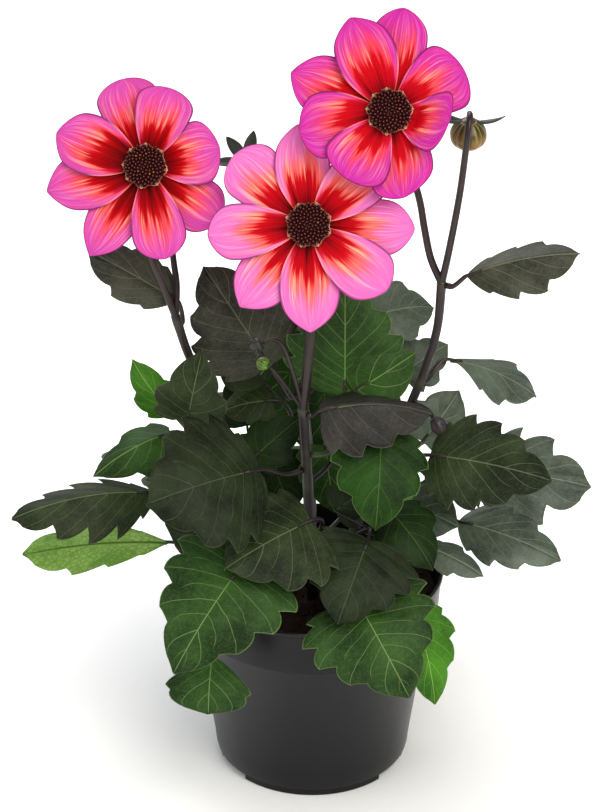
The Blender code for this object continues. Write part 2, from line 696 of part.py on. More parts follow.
def build_leaf(leaf):
    """A leaf: its blades fused to a stalk that stops just short of the stem."""
    spot, heading, radius = stem_at(leaf.stem, leaf.height)
    main = leaf.blades[0]
    toward = Vector(main.base) - spot
    out = (toward - heading * toward.dot(heading)).normalized()
    start = spot + out * (radius + STALK_GAP)
    route = stalk_route(leaf, main, start, out)
    pieces = [tube(route, [leaf.stalk * taper for taper in STALK_TAPER], 4)]
    for blade in leaf.blades:
        pieces.append(build_blade(blade))
    for blade in leaf.blades[1:]:
        end = blade_point(blade, 0.5, 0.0)
        pieces.append(tube([route[-2], Vector(blade.base), end], LEAFLET_STALK, 4))
    return fuse(leaf.name, pieces, f"leaf_{leaf.tone}")


def petal_outline(u, blunt):
    """A petal's width at u as a share of its greatest, wider towards the tip the blunter it is."""
    def wide(t):
        return (t + 0.05) ** 0.75 * max(0.0, 1 - t ** blunt) ** (PETAL_TIP / blunt)

    return wide(u) / max(wide(k / 50) for k in range(51))


def petal_point(petal, u, v):
    """A point of a petal's middle surface in the bloom's axes: x to the right, y up, z to the viewer."""
    reach = petal.reach - PETAL_FOOT
    shape = petal_outline(u, petal.blunt)
    across = petal.width / 2 * shape * v
    out = PETAL_FOOT + reach * u
    bend = math.radians(petal.lean)
    cup = PETAL_CUPPING[petal.tier] * across ** 2 * min(1.0, 2 * u)
    rise = PETAL_RISE * u - PETAL_FALL * u ** 2 + cup - TIER_STEP * petal.tier * (1 - 0.3 * u)
    tilt = max(0.0, out - LEAN_FROM)
    far = out - tilt * (1 - math.cos(bend))
    rise += tilt * math.sin(bend)
    across += petal.skew * petal.width / 2 * u ** 2
    a = math.radians(petal.angle)
    x = math.cos(a) * far - math.sin(a) * across
    y = math.sin(a) * far + math.cos(a) * across
    return Vector((x, y, rise))


def bloom_axes(bloom):
    """Centre, right, up and outward axes of a bloom."""
    out = unit(*bloom.face)
    right = Vector((0, 0, 1)).cross(out).normalized()
    return Vector(bloom.centre), right, out.cross(right), out


def into_bloom(bloom, local):
    """A place in the bloom's own axes turned into the plant's frame, in metres."""
    centre, right, up, out = bloom_axes(bloom)
    return (centre + right * local.x + up * local.y + out * local.z) * MM


def set_in(obj, bloom):
    """Moves a helper modelled in the bloom's own millimetre axes into the plant's frame."""
    for vertex in obj.data.vertices:
        vertex.co = into_bloom(bloom, vertex.co / MM)
    return obj


def build_petals(bloom):
    """The ring of petals, fused at their feet to a flat receptacle under the disc."""
    low = -TIER_STEP * 2 - PLATE_UNDER
    plate = [(0, PLATE_OVER), (PLATE_RADIUS, PLATE_OVER), (PLATE_RADIUS, low), (0, low)]
    pieces = [set_in(turned("receptacle", plate, 12), bloom)]
    for petal in bloom.petals:
        bm = bmesh.new()
        bmesh.ops.create_grid(bm, x_segments=len(PETAL_ROWS) - 1, y_segments=PETAL_COLUMNS, size=1.0)
        for vertex in bm.verts:
            row = round((vertex.co.x + 1) / 2 * (len(PETAL_ROWS) - 1))
            vertex.co = into_bloom(bloom, petal_point(petal, PETAL_ROWS[row], vertex.co.y))
        pieces.append(thicken(bm, PETAL_THICKNESS))
    return fuse(f"bloom_{bloom.name}_petals", pieces, "petal")


def build_disc(bloom):
    """The domed disc: raised florets on a six-sided lattice."""
    bm = bmesh.new()
    bmesh.ops.create_cone(bm, cap_ends=True, segments=6 * DISC_RINGS, radius1=(bloom.disc - DISC_TAPER) * MM,
                          radius2=bloom.disc * MM, depth=DISC_FLANK * MM)
    top = [f for f in bm.faces if f.normal.z > 0.9]
    rim = list(top[0].verts)
    bmesh.ops.delete(bm, geom=top, context="FACES_ONLY")
    rim.sort(key=lambda v: math.atan2(v.co.y, v.co.x) % math.tau)
    outer = rim
    for ring in range(DISC_RINGS - 1, -1, -1):
        radius = bloom.disc * ring / DISC_RINGS
        height = DISC_FLANK / 2 + DISC_DOME * (1 - (ring / DISC_RINGS) ** 2)
        count = max(1, 6 * ring)
        inner = []
        for k in range(count):
            a = math.tau * k / count
            raised = FLORET_HEIGHT if (ring + 2 * k) % 3 == 0 else 0.0
            spot = Vector((math.cos(a) * radius, math.sin(a) * radius, height + raised))
            inner.append(bm.verts.new(spot * MM))
        for sector in range(6):
            o = [outer[(sector * (ring + 1) + k) % len(outer)] for k in range(ring + 2)]
            i = [inner[(sector * ring + k) % count] for k in range(ring + 1)]
            for k in range(ring + 1):
                bm.faces.new((o[k], o[k + 1], i[k]))
                if k < ring:
                    bm.faces.new((i[k], o[k + 1], i[k + 1]))
        outer = inner
    lift = DISC_LIFT + DISC_FLANK / 2
    bmesh.ops.translate(bm, verts=bm.verts, vec=Vector((0, 0, lift)) * MM)
    bmesh.ops.recalc_face_normals(bm, faces=bm.faces)
    disc = set_in(helper("disc", mesh_of(bm, "disc")), bloom)
    return fuse(f"bloom_{bloom.name}_disc", [disc], "disc")


def bract(length, width, spread, radius, azimuth):
    """A pointed bract on a circle of this radius about Z, opened by spread degrees from the axis."""
    bm = bmesh.new()
    bmesh.ops.create_grid(bm, x_segments=3 if length > 15 else 2, y_segments=1, size=1.0)
    for vertex in bm.verts:
        u, v = (vertex.co.x + 1) / 2, vertex.co.y
        lean = math.radians(spread * (0.9 + 0.2 * u))
        half = width / 2 * (0.5 + 2.1 * u) * (1 - u ** 1.6)
        out = radius + length * u * math.sin(lean)
        vertex.co = Vector((out, half * v, length * u * math.cos(lean))) * MM
    made = thicken(bm, BLADE_THICKNESS)
    turn = math.radians(azimuth)
    for vertex in made.data.vertices:
        x, y, z = vertex.co
        vertex.co = (x * math.cos(turn) - y * math.sin(turn), x * math.sin(turn) + y * math.cos(turn), z)
    return made


def build_cup(bloom):
    """The green cup behind a bloom with its reflexed outer bracts."""
    top = -TIER_STEP * 2 - PLATE_UNDER - CLEAR
    low = top - CUP_DEPTH
    shoulder = (CUP_RADIUS - CUP_TAPER, top - CUP_SHOULDER)
    profile = [(0, top), (CUP_RADIUS, top), shoulder, (CUP_FOOT, low), (0, low)]
    pieces = [turned("cup", profile, CUP_SIDES)]
    for azimuth in CUP_BRACTS:
        leaf = bract(*CUP_BRACT, azimuth)
        for vertex in leaf.data.vertices:
            vertex.co.z += (top - CUP_SHOULDER - BRACT_SINK) * MM
        pieces.append(leaf)
    for piece in pieces:
        set_in(piece, bloom)
    return fuse(f"bloom_{bloom.name}_cup", pieces, "cup")


def bud_seat(bud):
    """The end of a bud's stalk and the way the bud looks from it."""
    places = shoot_places(bud.name) if bud.name in SHOOTS else [p for p, _ in STEMS["d"]]
    end, before = Vector(places[-1]), Vector(places[-2])
    return end, (end - before).normalized()


def build_bud(bud):
    """A bud on the end of its stalk: a ribbed body with spreading outer bracts at its foot."""
    end, heading = bud_seat(bud)
    steps = 6 if bud.radius > 8 else 4
    shift, power = bud.form
    profile = [(0, bud.length)]
    for k in range(steps - 1, 0, -1):
        t = k / steps
        profile.append((bud.radius * math.sin(math.pi * t ** shift) ** power, bud.length * t))
    profile.append((bud.radius * 0.4, 0))
    profile.append((0, 0))
    body = turned("body", profile, 2 * bud.ribs)
    for vertex in body.data.vertices:
        azimuth = math.atan2(vertex.co.y, vertex.co.x)
        shrink = 1 - 0.05 * (1 + math.cos(azimuth * bud.ribs))
        vertex.co.x *= shrink
        vertex.co.y *= shrink
    pieces = [body]
    for azimuth in bud.bracts:
        leaf = bract(*bud.bract, bud.spread, bud.radius * 0.25, azimuth)
        for vertex in leaf.data.vertices:
            vertex.co.z += BUD_BRACT_LIFT * MM
        pieces.append(leaf)
    turn = Vector((0, 0, 1)).rotation_difference(heading)
    foot = end + heading * CLEAR
    for piece in pieces:
        for vertex in piece.data.vertices:
            vertex.co = turn @ vertex.co + foot * MM
    return fuse(bud.name, pieces, bud.finish)


def main():
    """Clears the scene and builds the plant."""
    for old in list(bpy.data.objects):
        bpy.data.objects.remove(old)
    build_pot()
    build_peat()
    build_stems()
    for leaf in LEAVES:
        build_leaf(leaf)
    for bloom in BLOOMS:
        build_petals(bloom)
        build_disc(bloom)
        build_cup(bloom)
    for bud in BUDS:
        build_bud(bud)


main()
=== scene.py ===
"""Studio scene of a potted single dahlia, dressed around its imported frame.

Every surface of the plant and its pot is modelled here over the frame's solids, from the same driving sizes.
Tables and shape formulas are in millimetres and degrees, meshes in metres. Azimuth 0 is +X and -90 the front.
"""

import logging
import math
import random
from dataclasses import dataclass
from enum import Enum
from functools import lru_cache
from typing import Callable, Protocol, Sequence

import bpy
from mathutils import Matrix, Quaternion, Vector, noise


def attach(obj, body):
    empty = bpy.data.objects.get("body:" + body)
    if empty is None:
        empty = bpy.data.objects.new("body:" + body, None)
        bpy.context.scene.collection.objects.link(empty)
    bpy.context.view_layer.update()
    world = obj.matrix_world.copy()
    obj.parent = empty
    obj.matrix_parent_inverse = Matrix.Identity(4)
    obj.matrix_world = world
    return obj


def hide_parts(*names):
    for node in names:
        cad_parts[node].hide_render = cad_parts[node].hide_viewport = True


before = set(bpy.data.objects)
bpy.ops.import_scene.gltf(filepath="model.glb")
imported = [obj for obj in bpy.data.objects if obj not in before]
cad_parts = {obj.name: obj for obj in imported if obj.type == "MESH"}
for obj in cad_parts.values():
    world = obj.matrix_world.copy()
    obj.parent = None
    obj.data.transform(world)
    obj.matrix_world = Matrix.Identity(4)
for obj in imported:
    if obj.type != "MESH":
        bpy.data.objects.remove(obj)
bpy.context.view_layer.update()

log = logging.getLogger("dahlia")

MM = 0.001
BODY = "root"

# How far back on the midrib a side vein starts, in teeth, and how it bends forward on its way out
VEIN_LEAN = 0.8
VEIN_CURVE = 0.8

# How many fine ridges run along a stem, its swelling at a joint as a share of its radius, and over how many mm
RIDGES = 6
JOINT_SWELL = 0.10
JOINT_REACH = 3.2

# The angle between one disc floret and the next along their spiral, in degrees
GOLDEN_ANGLE = 137.508

# How near two points of a mesh lie, in metres, to be merged, and of one that was spun
DOUBLES = 1e-6
SPUN_DOUBLES = 1e-5

Place = Sequence[float]
Formula = Callable[[float, float], Vector]


class Tone(Enum):
    """The green of a leaf, named as the record's finishes are."""

    DARK = "leaf_dark"
    GREEN = "leaf_green"
    BRIGHT = "leaf_bright"
    PALE = "leaf_pale"


class Hue(Enum):
    """How deep a bloom's magenta is."""

    ROSE = "rose"
    SOFT = "soft"
    DEEP = "deep"


class Skin(Protocol):
    """What every finish has: a name, and a way to make its material."""

    @property
    def name(self) -> str:
        """The material's name."""

    def build(self) -> bpy.types.Material:
        """Makes the material."""


def unit(azimuth: float, elevation: float) -> Vector:
    """The direction of an azimuth and elevation in degrees."""
    a, e = math.radians(azimuth), math.radians(elevation)
    return Vector((math.cos(a) * math.cos(e), math.sin(a) * math.cos(e), math.sin(e)))


def smooth(low: float, high: float, value: float) -> float:
    """A soft step from 0 at low to 1 at high."""
    t = min(1.0, max(0.0, (value - low) / (high - low)))
    return t * t * (3 - 2 * t)


def linear(code: str) -> tuple[float, float, float, float]:
    """The linear colour of an sRGB hex code."""
    parts = [int(code[i:i + 2], 16) / 255 for i in (0, 2, 4)]
    return (*[c / 12.92 if c <= 0.04045 else ((c + 0.055) / 1.055) ** 2.4 for c in parts], 1.0)


def per_metre(size_mm: float) -> float:
    """The scale, on Object coordinates, of a pattern whose marks are this many millimetres across."""
    return 1000 / size_mm


def add(tree: bpy.types.NodeTree, kind: str, *values: object, named: dict | None = None,
        stops: Sequence[tuple[float, str]] = (), **settings: object) -> bpy.types.Node:
    """Adds a shader node with its settings, values and links.

    Args:
        tree: The material's or world's node tree.
        kind: The node's type without its ShaderNode prefix.
        values: What goes into the inputs in order: a value, a socket, a node for its first output, or None.
        named: The same for inputs by name.
        stops: Places and hex colours of a colour ramp.
        settings: Properties of the node.

    Returns:
        The new node.
    """
    made = tree.nodes.new("ShaderNode" + kind)
    for key, value in settings.items():
        setattr(made, key, value)
    for key, value in [*enumerate(values), *(named or {}).items()]:
        if value is None:
            continue
        source = value.outputs[0] if isinstance(value, bpy.types.Node) else value
        if isinstance(source, bpy.types.NodeSocket):
            tree.links.new(source, made.inputs[key])
        else:
            made.inputs[key].default_value = source
    if stops:
        ramp = made.color_ramp
        while len(ramp.elements) < len(stops):
            ramp.elements.new(0.5)
        for element, (at, code) in zip(ramp.elements, stops):
            element.position = at
            element.color = linear(code)
    return made


def blank(name: str, roughness: float, **sockets: float) -> tuple[bpy.types.Material, bpy.types.NodeTree,
                                                                   bpy.types.Node]:
    """A new material with its Principled shader.

    Args:
        name: The material's name.
        roughness: The shader's roughness.
        sockets: Other values of the shader, with underscores for the spaces in their names.

    Returns:
        The material, its node tree and its shader.
    """
    made = bpy.data.materials.new(name)
    made.use_nodes = True
    shader = made.node_tree.nodes["Principled BSDF"]
    shader.inputs["Roughness"].default_value = roughness
    for key, value in sockets.items():
        shader.inputs[key.replace("_", " ")].default_value = value
    return made, made.node_tree, shader


@dataclass(frozen=True)
class LeafSkin:
    """One side of a living dahlia leaf: a thin waxy skin, grown over its veins.

    It gives the eye a satin green in soft clouds, a pale midrib and side veins, feathered barbs and a net.
    The smallest meshes of a real leaf are under a millimetre, so the net is drawn coarser, at net_mm.
    """

    name: str
    deep: str
    light: str
    vein: str
    heart: str
    edge: str
    vein_share: float = 0.35
    fine_share: float = 0.09
    heart_share: float = 0.35
    roughness: float = 0.50
    specular: float = 0.09
    cloud_mm: float = 26.0
    net_mm: float = 1.7
    net_share: float = 0.4
    barbs: float = 15.0
    speck_mm: float = 2.6
    grain_mm: float = 5 / 7
    relief_mm: float = 0.6
    heart_half_mm: float = 17.0
    heart_reach_mm: tuple[float, float] = (4.0, 62.0)
    rib_half_mm: tuple[float, float] = (0.15, 0.55)

    def build(self) -> bpy.types.Material:
        """Makes the material.

        The marks attribute gives the vein phase, the distance from the midrib and that along it in
        millimetres, and UV runs from base to tip and margin to margin.

        Returns:
            The material.
        """
        made, tree, shader = blank(self.name, self.roughness, Specular_IOR_Level=self.specular)
        place = add(tree, "TexCoord")
        spot = place.outputs["Object"]
        marks = add(tree, "Attribute", attribute_name="marks")
        phase, across, along = add(tree, "SeparateXYZ", marks.outputs["Vector"]).outputs
        u, v = add(tree, "SeparateXYZ", place.outputs["UV"]).outputs[:2]
        out = add(tree, "Math", add(tree, "Math", v, -0.5), operation="ABSOLUTE")
        aside = add(tree, "Math", across, operation="ABSOLUTE")

        # Clouds and specks mix the deep and the light green, and the leaf's middle turns to its heart colour
        cloud = add(tree, "TexNoise", named={"Vector": spot, "Scale": per_metre(self.cloud_mm),
                                             "Detail": 2.0, "Roughness": 0.5})
        speck = add(tree, "TexNoise", named={"Vector": spot, "Scale": per_metre(self.speck_mm),
                                             "Detail": 5.0, "Roughness": 0.7})
        tone = add(tree, "Math", speck, 0.30, add(tree, "Math", cloud, 0.70, operation="MULTIPLY"),
                   operation="MULTIPLY_ADD")
        green = add(tree, "MixRGB", add(tree, "MapRange", tone, 0.38, 0.63), linear(self.deep),
                    linear(self.light))
        inner = add(tree, "Math",
                    add(tree, "MapRange", aside, 0.0, self.heart_half_mm, self.heart_share, 0.0),
                    add(tree, "MapRange", along, *self.heart_reach_mm, 1.0, 0.0), operation="MULTIPLY")
        hearted = add(tree, "MixRGB", inner, green, linear(self.heart))

        # Side veins bend forward into the teeth and thin out, with a faint one half way between each two
        inward = add(tree, "Math", add(tree, "MapRange", out, 0.0, 0.5, 1.0, 0.0), VEIN_CURVE,
                     operation="POWER")
        bent = add(tree, "Math", add(tree, "Math", cloud, -0.5), 0.30,
                   add(tree, "Math", inward, VEIN_LEAN, operation="MULTIPLY"), operation="MULTIPLY_ADD")
        near = add(tree, "Math", add(tree, "Math", phase, bent), 0.5, operation="PINGPONG")
        side = add(tree, "MapRange", near, 0.002, add(tree, "MapRange", out, 0.0, 0.5, 0.030, 0.012),
                   0.9, 0.0)
        between = add(tree, "MapRange", near, add(tree, "MapRange", out, 0.0, 0.5, 0.476, 0.490),
                      0.498, 0.0, 0.6)
        between = add(tree, "Math", between, add(tree, "MapRange", out, 0.30, 0.44, 1.0, 0.0),
                      operation="MULTIPLY")
        side = add(tree, "Math", side, between, operation="MAXIMUM")
        side = add(tree, "Math", side, add(tree, "MapRange", u, 0.93, 0.98, 1.0, 0.0),
                   operation="MULTIPLY")
        rib = add(tree, "MapRange", aside, *self.rib_half_mm, 1.0, 0.0)
        ribbed = add(tree, "Math", side, rib, operation="MAXIMUM")
        strong = add(tree, "Math", ribbed, self.vein_share, operation="MULTIPLY")

        # Barbs fan out from the side veins, broken up by the specks, and a net fills what is left
        fan = add(tree, "Math", out, self.barbs, add(tree, "Math", near, -5.0, operation="MULTIPLY"),
                  operation="MULTIPLY_ADD")
        fan = add(tree, "Math", speck, 0.9, add(tree, "Math", cloud, 4.0, fan, operation="MULTIPLY_ADD"),
                  operation="MULTIPLY_ADD")
        minor = add(tree, "MapRange", add(tree, "Math", fan, 0.5, operation="PINGPONG"), 0.02, 0.11,
                    self.fine_share, 0.0)
        minor = add(tree, "Math", minor, add(tree, "MapRange", speck, 0.42, 0.56), operation="MULTIPLY")
        flat = add(tree, "CombineXYZ", across, along, 0.0)
        net = add(tree, "TexVoronoi", named={"Vector": flat, "Scale": 1 / self.net_mm},
                  feature="DISTANCE_TO_EDGE")
        mesh = add(tree, "MapRange", net, 0.02, 0.16, self.net_share * self.fine_share, 0.0)
        lines = add(tree, "Math", add(tree, "Math", minor, mesh, operation="MAXIMUM"), strong,
                    operation="MAXIMUM")
        veined = add(tree, "MixRGB", lines, hearted, linear(self.vein))
        coloured = add(tree, "MixRGB", add(tree, "MapRange", out, 0.486, 0.497, 0.0, 0.4), veined,
                       linear(self.edge))

        # The skin swells between its veins, which lie sunk
        grain = add(tree, "TexNoise", named={"Vector": spot, "Scale": per_metre(self.grain_mm),
                                             "Detail": 3.0})
        sunk = add(tree, "Math", ribbed, 0.8, operation="MULTIPLY")
        quilt = add(tree, "Math", net, 0.30, add(tree, "Math", grain, 0.25, operation="MULTIPLY"),
                    operation="MULTIPLY_ADD")
        height = add(tree, "Math", quilt, sunk, operation="SUBTRACT")
        bump = add(tree, "Bump", named={"Strength": 0.5, "Distance": self.relief_mm * MM,
                                        "Height": height})
        tree.links.new(coloured.outputs[0], shader.inputs["Base Color"])
        tree.links.new(bump.outputs[0], shader.inputs["Normal"])
        return made


@dataclass(frozen=True)
class PetalSkin:
    """A ray floret: living petal tissue whose surface cells scatter the light, so it looks like velvet.

    It gives the eye a maroon foot, red tongues up its middle, coral and cream streaks, and then magenta with
    a dark rim. The streaks are broad, middling and fine: across a petal 36 mm wide, which is
    the middle of those here, they lie about 5.1, 1.4 and 0.6 mm apart.
    """

    name: str
    foot: str
    red: str
    ember: str
    coral: str
    cream: str
    blush: str
    tip: str
    side: str
    rim: str
    veil: str = "F0A4D4"
    reach: float = 0.50
    streaks: tuple[float, float, float] = (7.0, 26.0, 60.0)
    relief_mm: float = 0.6

    def build(self) -> bpy.types.Material:
        """Makes the material.

        UV runs from foot to tip and edge to edge, and the marks attribute holds a seed of the petal's own.

        Returns:
            The material.
        """
        made, tree, shader = blank(self.name, 0.6, Specular_IOR_Level=0.03)
        place = add(tree, "TexCoord")
        u, v = add(tree, "SeparateXYZ", place.outputs["UV"]).outputs[:2]
        marks = add(tree, "Attribute", attribute_name="marks")
        seed = add(tree, "SeparateXYZ", marks.outputs["Vector"]).outputs["X"]
        off = add(tree, "Math", add(tree, "Math", add(tree, "Math", v, -0.5), operation="ABSOLUTE"), 2.0,
                  operation="MULTIPLY")

        def grain(count: float, stretch: float, detail: float) -> bpy.types.Node:
            """Adds noise in long streaks.

            Args:
                count: How many streaks there are across the petal.
                stretch: How often they change along it.
                detail: The noise's detail.

            Returns:
                The noise.
            """
            side = add(tree, "Math", v, count, seed, operation="MULTIPLY_ADD")
            at = add(tree, "CombineXYZ", side, add(tree, "Math", u, stretch, operation="MULTIPLY"), seed)
            return add(tree, "TexNoise", named={"Vector": at, "Scale": 1.0, "Detail": detail,
                                                "Roughness": 0.6})

        settings = zip(self.streaks, (0.7, 1.1, 2.0), (1.0, 3.0, 3.0))
        broad, middle, fine = [grain(*setting) for setting in settings]

        # The front between red and magenta stands further out along the middle, and is ragged at three sizes
        ragged = add(tree, "Math", add(tree, "Math", broad, -0.5), 0.50, operation="MULTIPLY")
        ragged = add(tree, "Math", add(tree, "Math", middle, -0.5), 0.34, ragged, operation="MULTIPLY_ADD")
        ragged = add(tree, "Math", add(tree, "Math", fine, -0.5), 0.26, ragged, operation="MULTIPLY_ADD")
        widening = add(tree, "MapRange", u, 0.10, 0.45, 0.25, 0.85)
        edges = add(tree, "Math", add(tree, "Math", off, 4.4, operation="POWER"), widening, u,
                    operation="MULTIPLY_ADD")
        front = add(tree, "Math", edges, ragged)

        # From foot to tip along that front: maroon, red, coral, blush and magenta
        r = self.reach
        ramp = add(tree, "ValToRGB", front, stops=[
            (0.05, self.foot), (r * 0.62, self.red), (r - 0.07, self.ember), (r + 0.04, self.coral),
            (r + 0.10, self.coral), (r + 0.25, self.blush), (0.94, self.tip)])

        # Cream streaks break through about the front, and the margins turn magenta early
        early = add(tree, "MapRange", u, r - 0.24, r - 0.02, 0.0, 1.0)
        late = add(tree, "MapRange", u, r + 0.08, r + 0.40, 1.0, 0.0)
        window = add(tree, "Math", early, late, operation="MULTIPLY")
        streak = add(tree, "Math", add(tree, "MapRange", middle, 0.50, 0.68, 0.0, 0.75), window,
                     operation="MULTIPLY")
        beyond = add(tree, "MapRange", front, r - 0.06, r + 0.02, 0.0, 1.0)
        streak = add(tree, "Math", streak, beyond, operation="MULTIPLY")
        streaked = add(tree, "MixRGB", streak, ramp, linear(self.cream))
        margin = add(tree, "MapRange", add(tree, "Math", broad, 0.24, off, operation="MULTIPLY_ADD"),
                     0.78, 1.10, 0.0, add(tree, "MapRange", u, 0.14, 0.42, 0.0, 0.85))
        sided = add(tree, "MixRGB", margin, streaked, linear(self.side))

        # Past the front, fine darker lines and paler veils, and a thin rim that is cream at the foot
        open_part = add(tree, "MapRange", front, r + 0.02, r + 0.20, 0.0, 1.0)
        lines = add(tree, "Math", add(tree, "MapRange", fine, 0.36, 0.52, 0.45, 0.0), open_part,
                    operation="MULTIPLY")
        darker = add(tree, "MixRGB", lines, sided, linear(self.tip))
        veils = add(tree, "Math", add(tree, "MapRange", fine, 0.52, 0.70, 0.0, 0.34), open_part,
                    operation="MULTIPLY")
        lined = add(tree, "MixRGB", veils, darker, linear(self.veil))
        edge = add(tree, "MapRange", off, 0.930, 0.975, 0.0,
                   add(tree, "MapRange", u, 0.2, 0.45, 0.32, 0.85))
        outer = add(tree, "MapRange", u, 0.30, 0.50, 0.0, 1.0)
        rim = add(tree, "MixRGB", outer, linear(self.cream), linear(self.rim))
        rimmed = add(tree, "MixRGB", edge, lined, rim)
        bump = add(tree, "Bump", named={"Strength": 0.5, "Distance": self.relief_mm * MM, "Height": fine})
        tree.links.new(rimmed.outputs[0], shader.inputs["Base Color"])
        tree.links.new(bump.outputs[0], shader.inputs["Normal"])
        return made


@dataclass(frozen=True)
class StemSkin:
    """A dahlia's stem or stalk: smooth green skin under maroon pigment, with fine ridges along it.

    It gives the eye a satin brown-maroon with long highlights, yellow-green at the joints and nearly black
    low down, which is painted shade of the foliage above. The ridges are ridge_share of the radius wide and
    streak_mm long.
    """

    name: str
    dark: str
    light: str
    joint: str
    # The colour of the painted shade low down in the foliage
    low_shade: str = "0C0A09"
    roughness: float = 0.38
    ridge_share: float = 1 / 2.2
    streak_mm: float = 100 / 3
    cloud_mm: float = 100 / 9
    # The heights in mm where that painted shade is fullest and where it ends
    shade_to_lit_mm: tuple[float, float] = (200.0, 340.0)
    relief_mm: float = 0.5

    def build(self) -> bpy.types.Material:
        """Makes the material.

        The marks attribute gives mm along the stem and the turn round it, and UV the nearness of a joint.

        Returns:
            The material.
        """
        made, tree, shader = blank(self.name, self.roughness, Specular_IOR_Level=0.36)
        place = add(tree, "TexCoord")
        marks = add(tree, "Attribute", attribute_name="marks")
        along, *turn = add(tree, "SeparateXYZ", marks.outputs["Vector"]).outputs
        round_it = [add(tree, "Math", part, 1 / self.ridge_share, operation="MULTIPLY") for part in turn]
        at = add(tree, "CombineXYZ", *round_it,
                 add(tree, "Math", along, 1 / self.streak_mm, operation="MULTIPLY"))
        ridge = add(tree, "TexNoise", named={"Vector": at, "Scale": 1.0, "Detail": 3.0})
        cloud = add(tree, "TexNoise", named={"Vector": place.outputs["Object"],
                                             "Scale": per_metre(self.cloud_mm), "Detail": 3.0})
        mixed = add(tree, "Math", ridge, 0.6, add(tree, "Math", cloud, 0.4, operation="MULTIPLY"),
                    operation="MULTIPLY_ADD")
        skin = add(tree, "MixRGB", add(tree, "MapRange", mixed, 0.44, 0.62), linear(self.dark),
                   linear(self.light))
        near = add(tree, "Math", add(tree, "SeparateXYZ", place.outputs["UV"]).outputs["X"], 0.45,
                   operation="MULTIPLY")
        height = add(tree, "SeparateXYZ", place.outputs["Object"]).outputs["Z"]
        # Painted shade: lower down, the colour darkens towards the shade colour, as inside the foliage
        low_shade_share = add(tree, "MapRange", height, *[level * MM for level in self.shade_to_lit_mm], 0.85, 0.0)
        jointed = add(tree, "MixRGB", near, add(tree, "MixRGB", low_shade_share, skin, linear(self.low_shade)),
                      linear(self.joint))
        bump = add(tree, "Bump", named={"Strength": 0.4, "Distance": self.relief_mm * MM, "Height": ridge})
        tree.links.new(jointed.outputs[0], shader.inputs["Base Color"])
        tree.links.new(bump.outputs[0], shader.inputs["Normal"])
        return made


@dataclass(frozen=True)
class Clouded:
    """Damp peat or soft plant tissue: two colours that run into each other in clouds, under a matt grain."""

    name: str
    dark: str
    light: str
    cloud_mm: float
    roughness: float
    grain_mm: float = 0.8
    bump_mm: float = 0.3
    specular: float = 0.3

    def build(self) -> bpy.types.Material:
        """Makes the material.

        Returns:
            The material.
        """
        made, tree, shader = blank(self.name, self.roughness, Specular_IOR_Level=self.specular)
        spot = add(tree, "TexCoord").outputs["Object"]
        cloud = add(tree, "TexNoise", named={"Vector": spot, "Scale": per_metre(self.cloud_mm),
                                             "Detail": 5.0, "Roughness": 0.65})
        grain = add(tree, "TexNoise", named={"Vector": spot, "Scale": per_metre(self.grain_mm),
                                             "Detail": 2.0})
        colour = add(tree, "MixRGB", add(tree, "MapRange", cloud, 0.36, 0.64), linear(self.dark),
                     linear(self.light))
        bump = add(tree, "Bump", named={"Strength": 0.6, "Distance": self.bump_mm * MM, "Height": grain})
        tree.links.new(colour.outputs[0], shader.inputs["Base Color"])
        tree.links.new(bump.outputs[0], shader.inputs["Normal"])
        return made


@dataclass(frozen=True)
class Striped:
    """A bract or bud scale: thin green or papery tissue, with veins from foot to tip and paler thin edges.

    It gives the eye a satin strip with stripes along it. Their number was chosen from the photograph.
    """

    name: str
    foot: str
    light: str
    tip: str
    edge: str
    stripes: float
    roughness: float = 0.42
    edge_share: float = 0.5
    relief_mm: float = 0.4

    def build(self) -> bpy.types.Material:
        """Makes the material, on a UV that runs from foot to tip and edge to edge.

        Returns:
            The material.
        """
        made, tree, shader = blank(self.name, self.roughness, Specular_IOR_Level=0.35)
        u, v = add(tree, "SeparateXYZ", add(tree, "TexCoord").outputs["UV"]).outputs[:2]
        at = add(tree, "CombineXYZ", add(tree, "Math", v, self.stripes, operation="MULTIPLY"),
                 add(tree, "Math", u, 0.8, operation="MULTIPLY"), 0.0)
        lines = add(tree, "TexNoise", named={"Vector": at, "Scale": 1.0, "Detail": 3.0})
        along = add(tree, "MixRGB", add(tree, "MapRange", u, 0.15, 0.75), linear(self.foot), linear(self.tip))
        colour = add(tree, "MixRGB", add(tree, "MapRange", lines, 0.44, 0.64, 0.0, 0.8), along,
                     linear(self.light))
        out = add(tree, "Math", add(tree, "Math", v, -0.5), operation="ABSOLUTE")
        edged = add(tree, "MixRGB", add(tree, "MapRange", out, 0.40, 0.50, 0.0, self.edge_share), colour,
                    linear(self.edge))
        bump = add(tree, "Bump", named={"Strength": 0.4, "Distance": self.relief_mm * MM, "Height": lines})
        tree.links.new(edged.outputs[0], shader.inputs["Base Color"])
        tree.links.new(bump.outputs[0], shader.inputs["Normal"])
        return made


@dataclass(frozen=True)
class FloretSkin:
    """A closed disc floret: a tight maroon bud, matt and nearly black, with a red-brown tip."""

    name: str
    base: str
    tip: str
    point: str

    def build(self) -> bpy.types.Material:
        """Makes the material, on a UV whose second part runs from the floret's foot to its tip.

        Returns:
            The material.
        """
        made, tree, shader = blank(self.name, 0.5, Specular_IOR_Level=0.2)
        uv = add(tree, "SeparateXYZ", add(tree, "TexCoord").outputs["UV"])
        ramp = add(tree, "ValToRGB", uv.outputs["Y"], stops=[
            (0.0, self.base), (0.66, self.base), (0.82, self.tip), (0.95, self.point)])
        tree.links.new(ramp.outputs[0], shader.inputs["Base Color"])
        return made


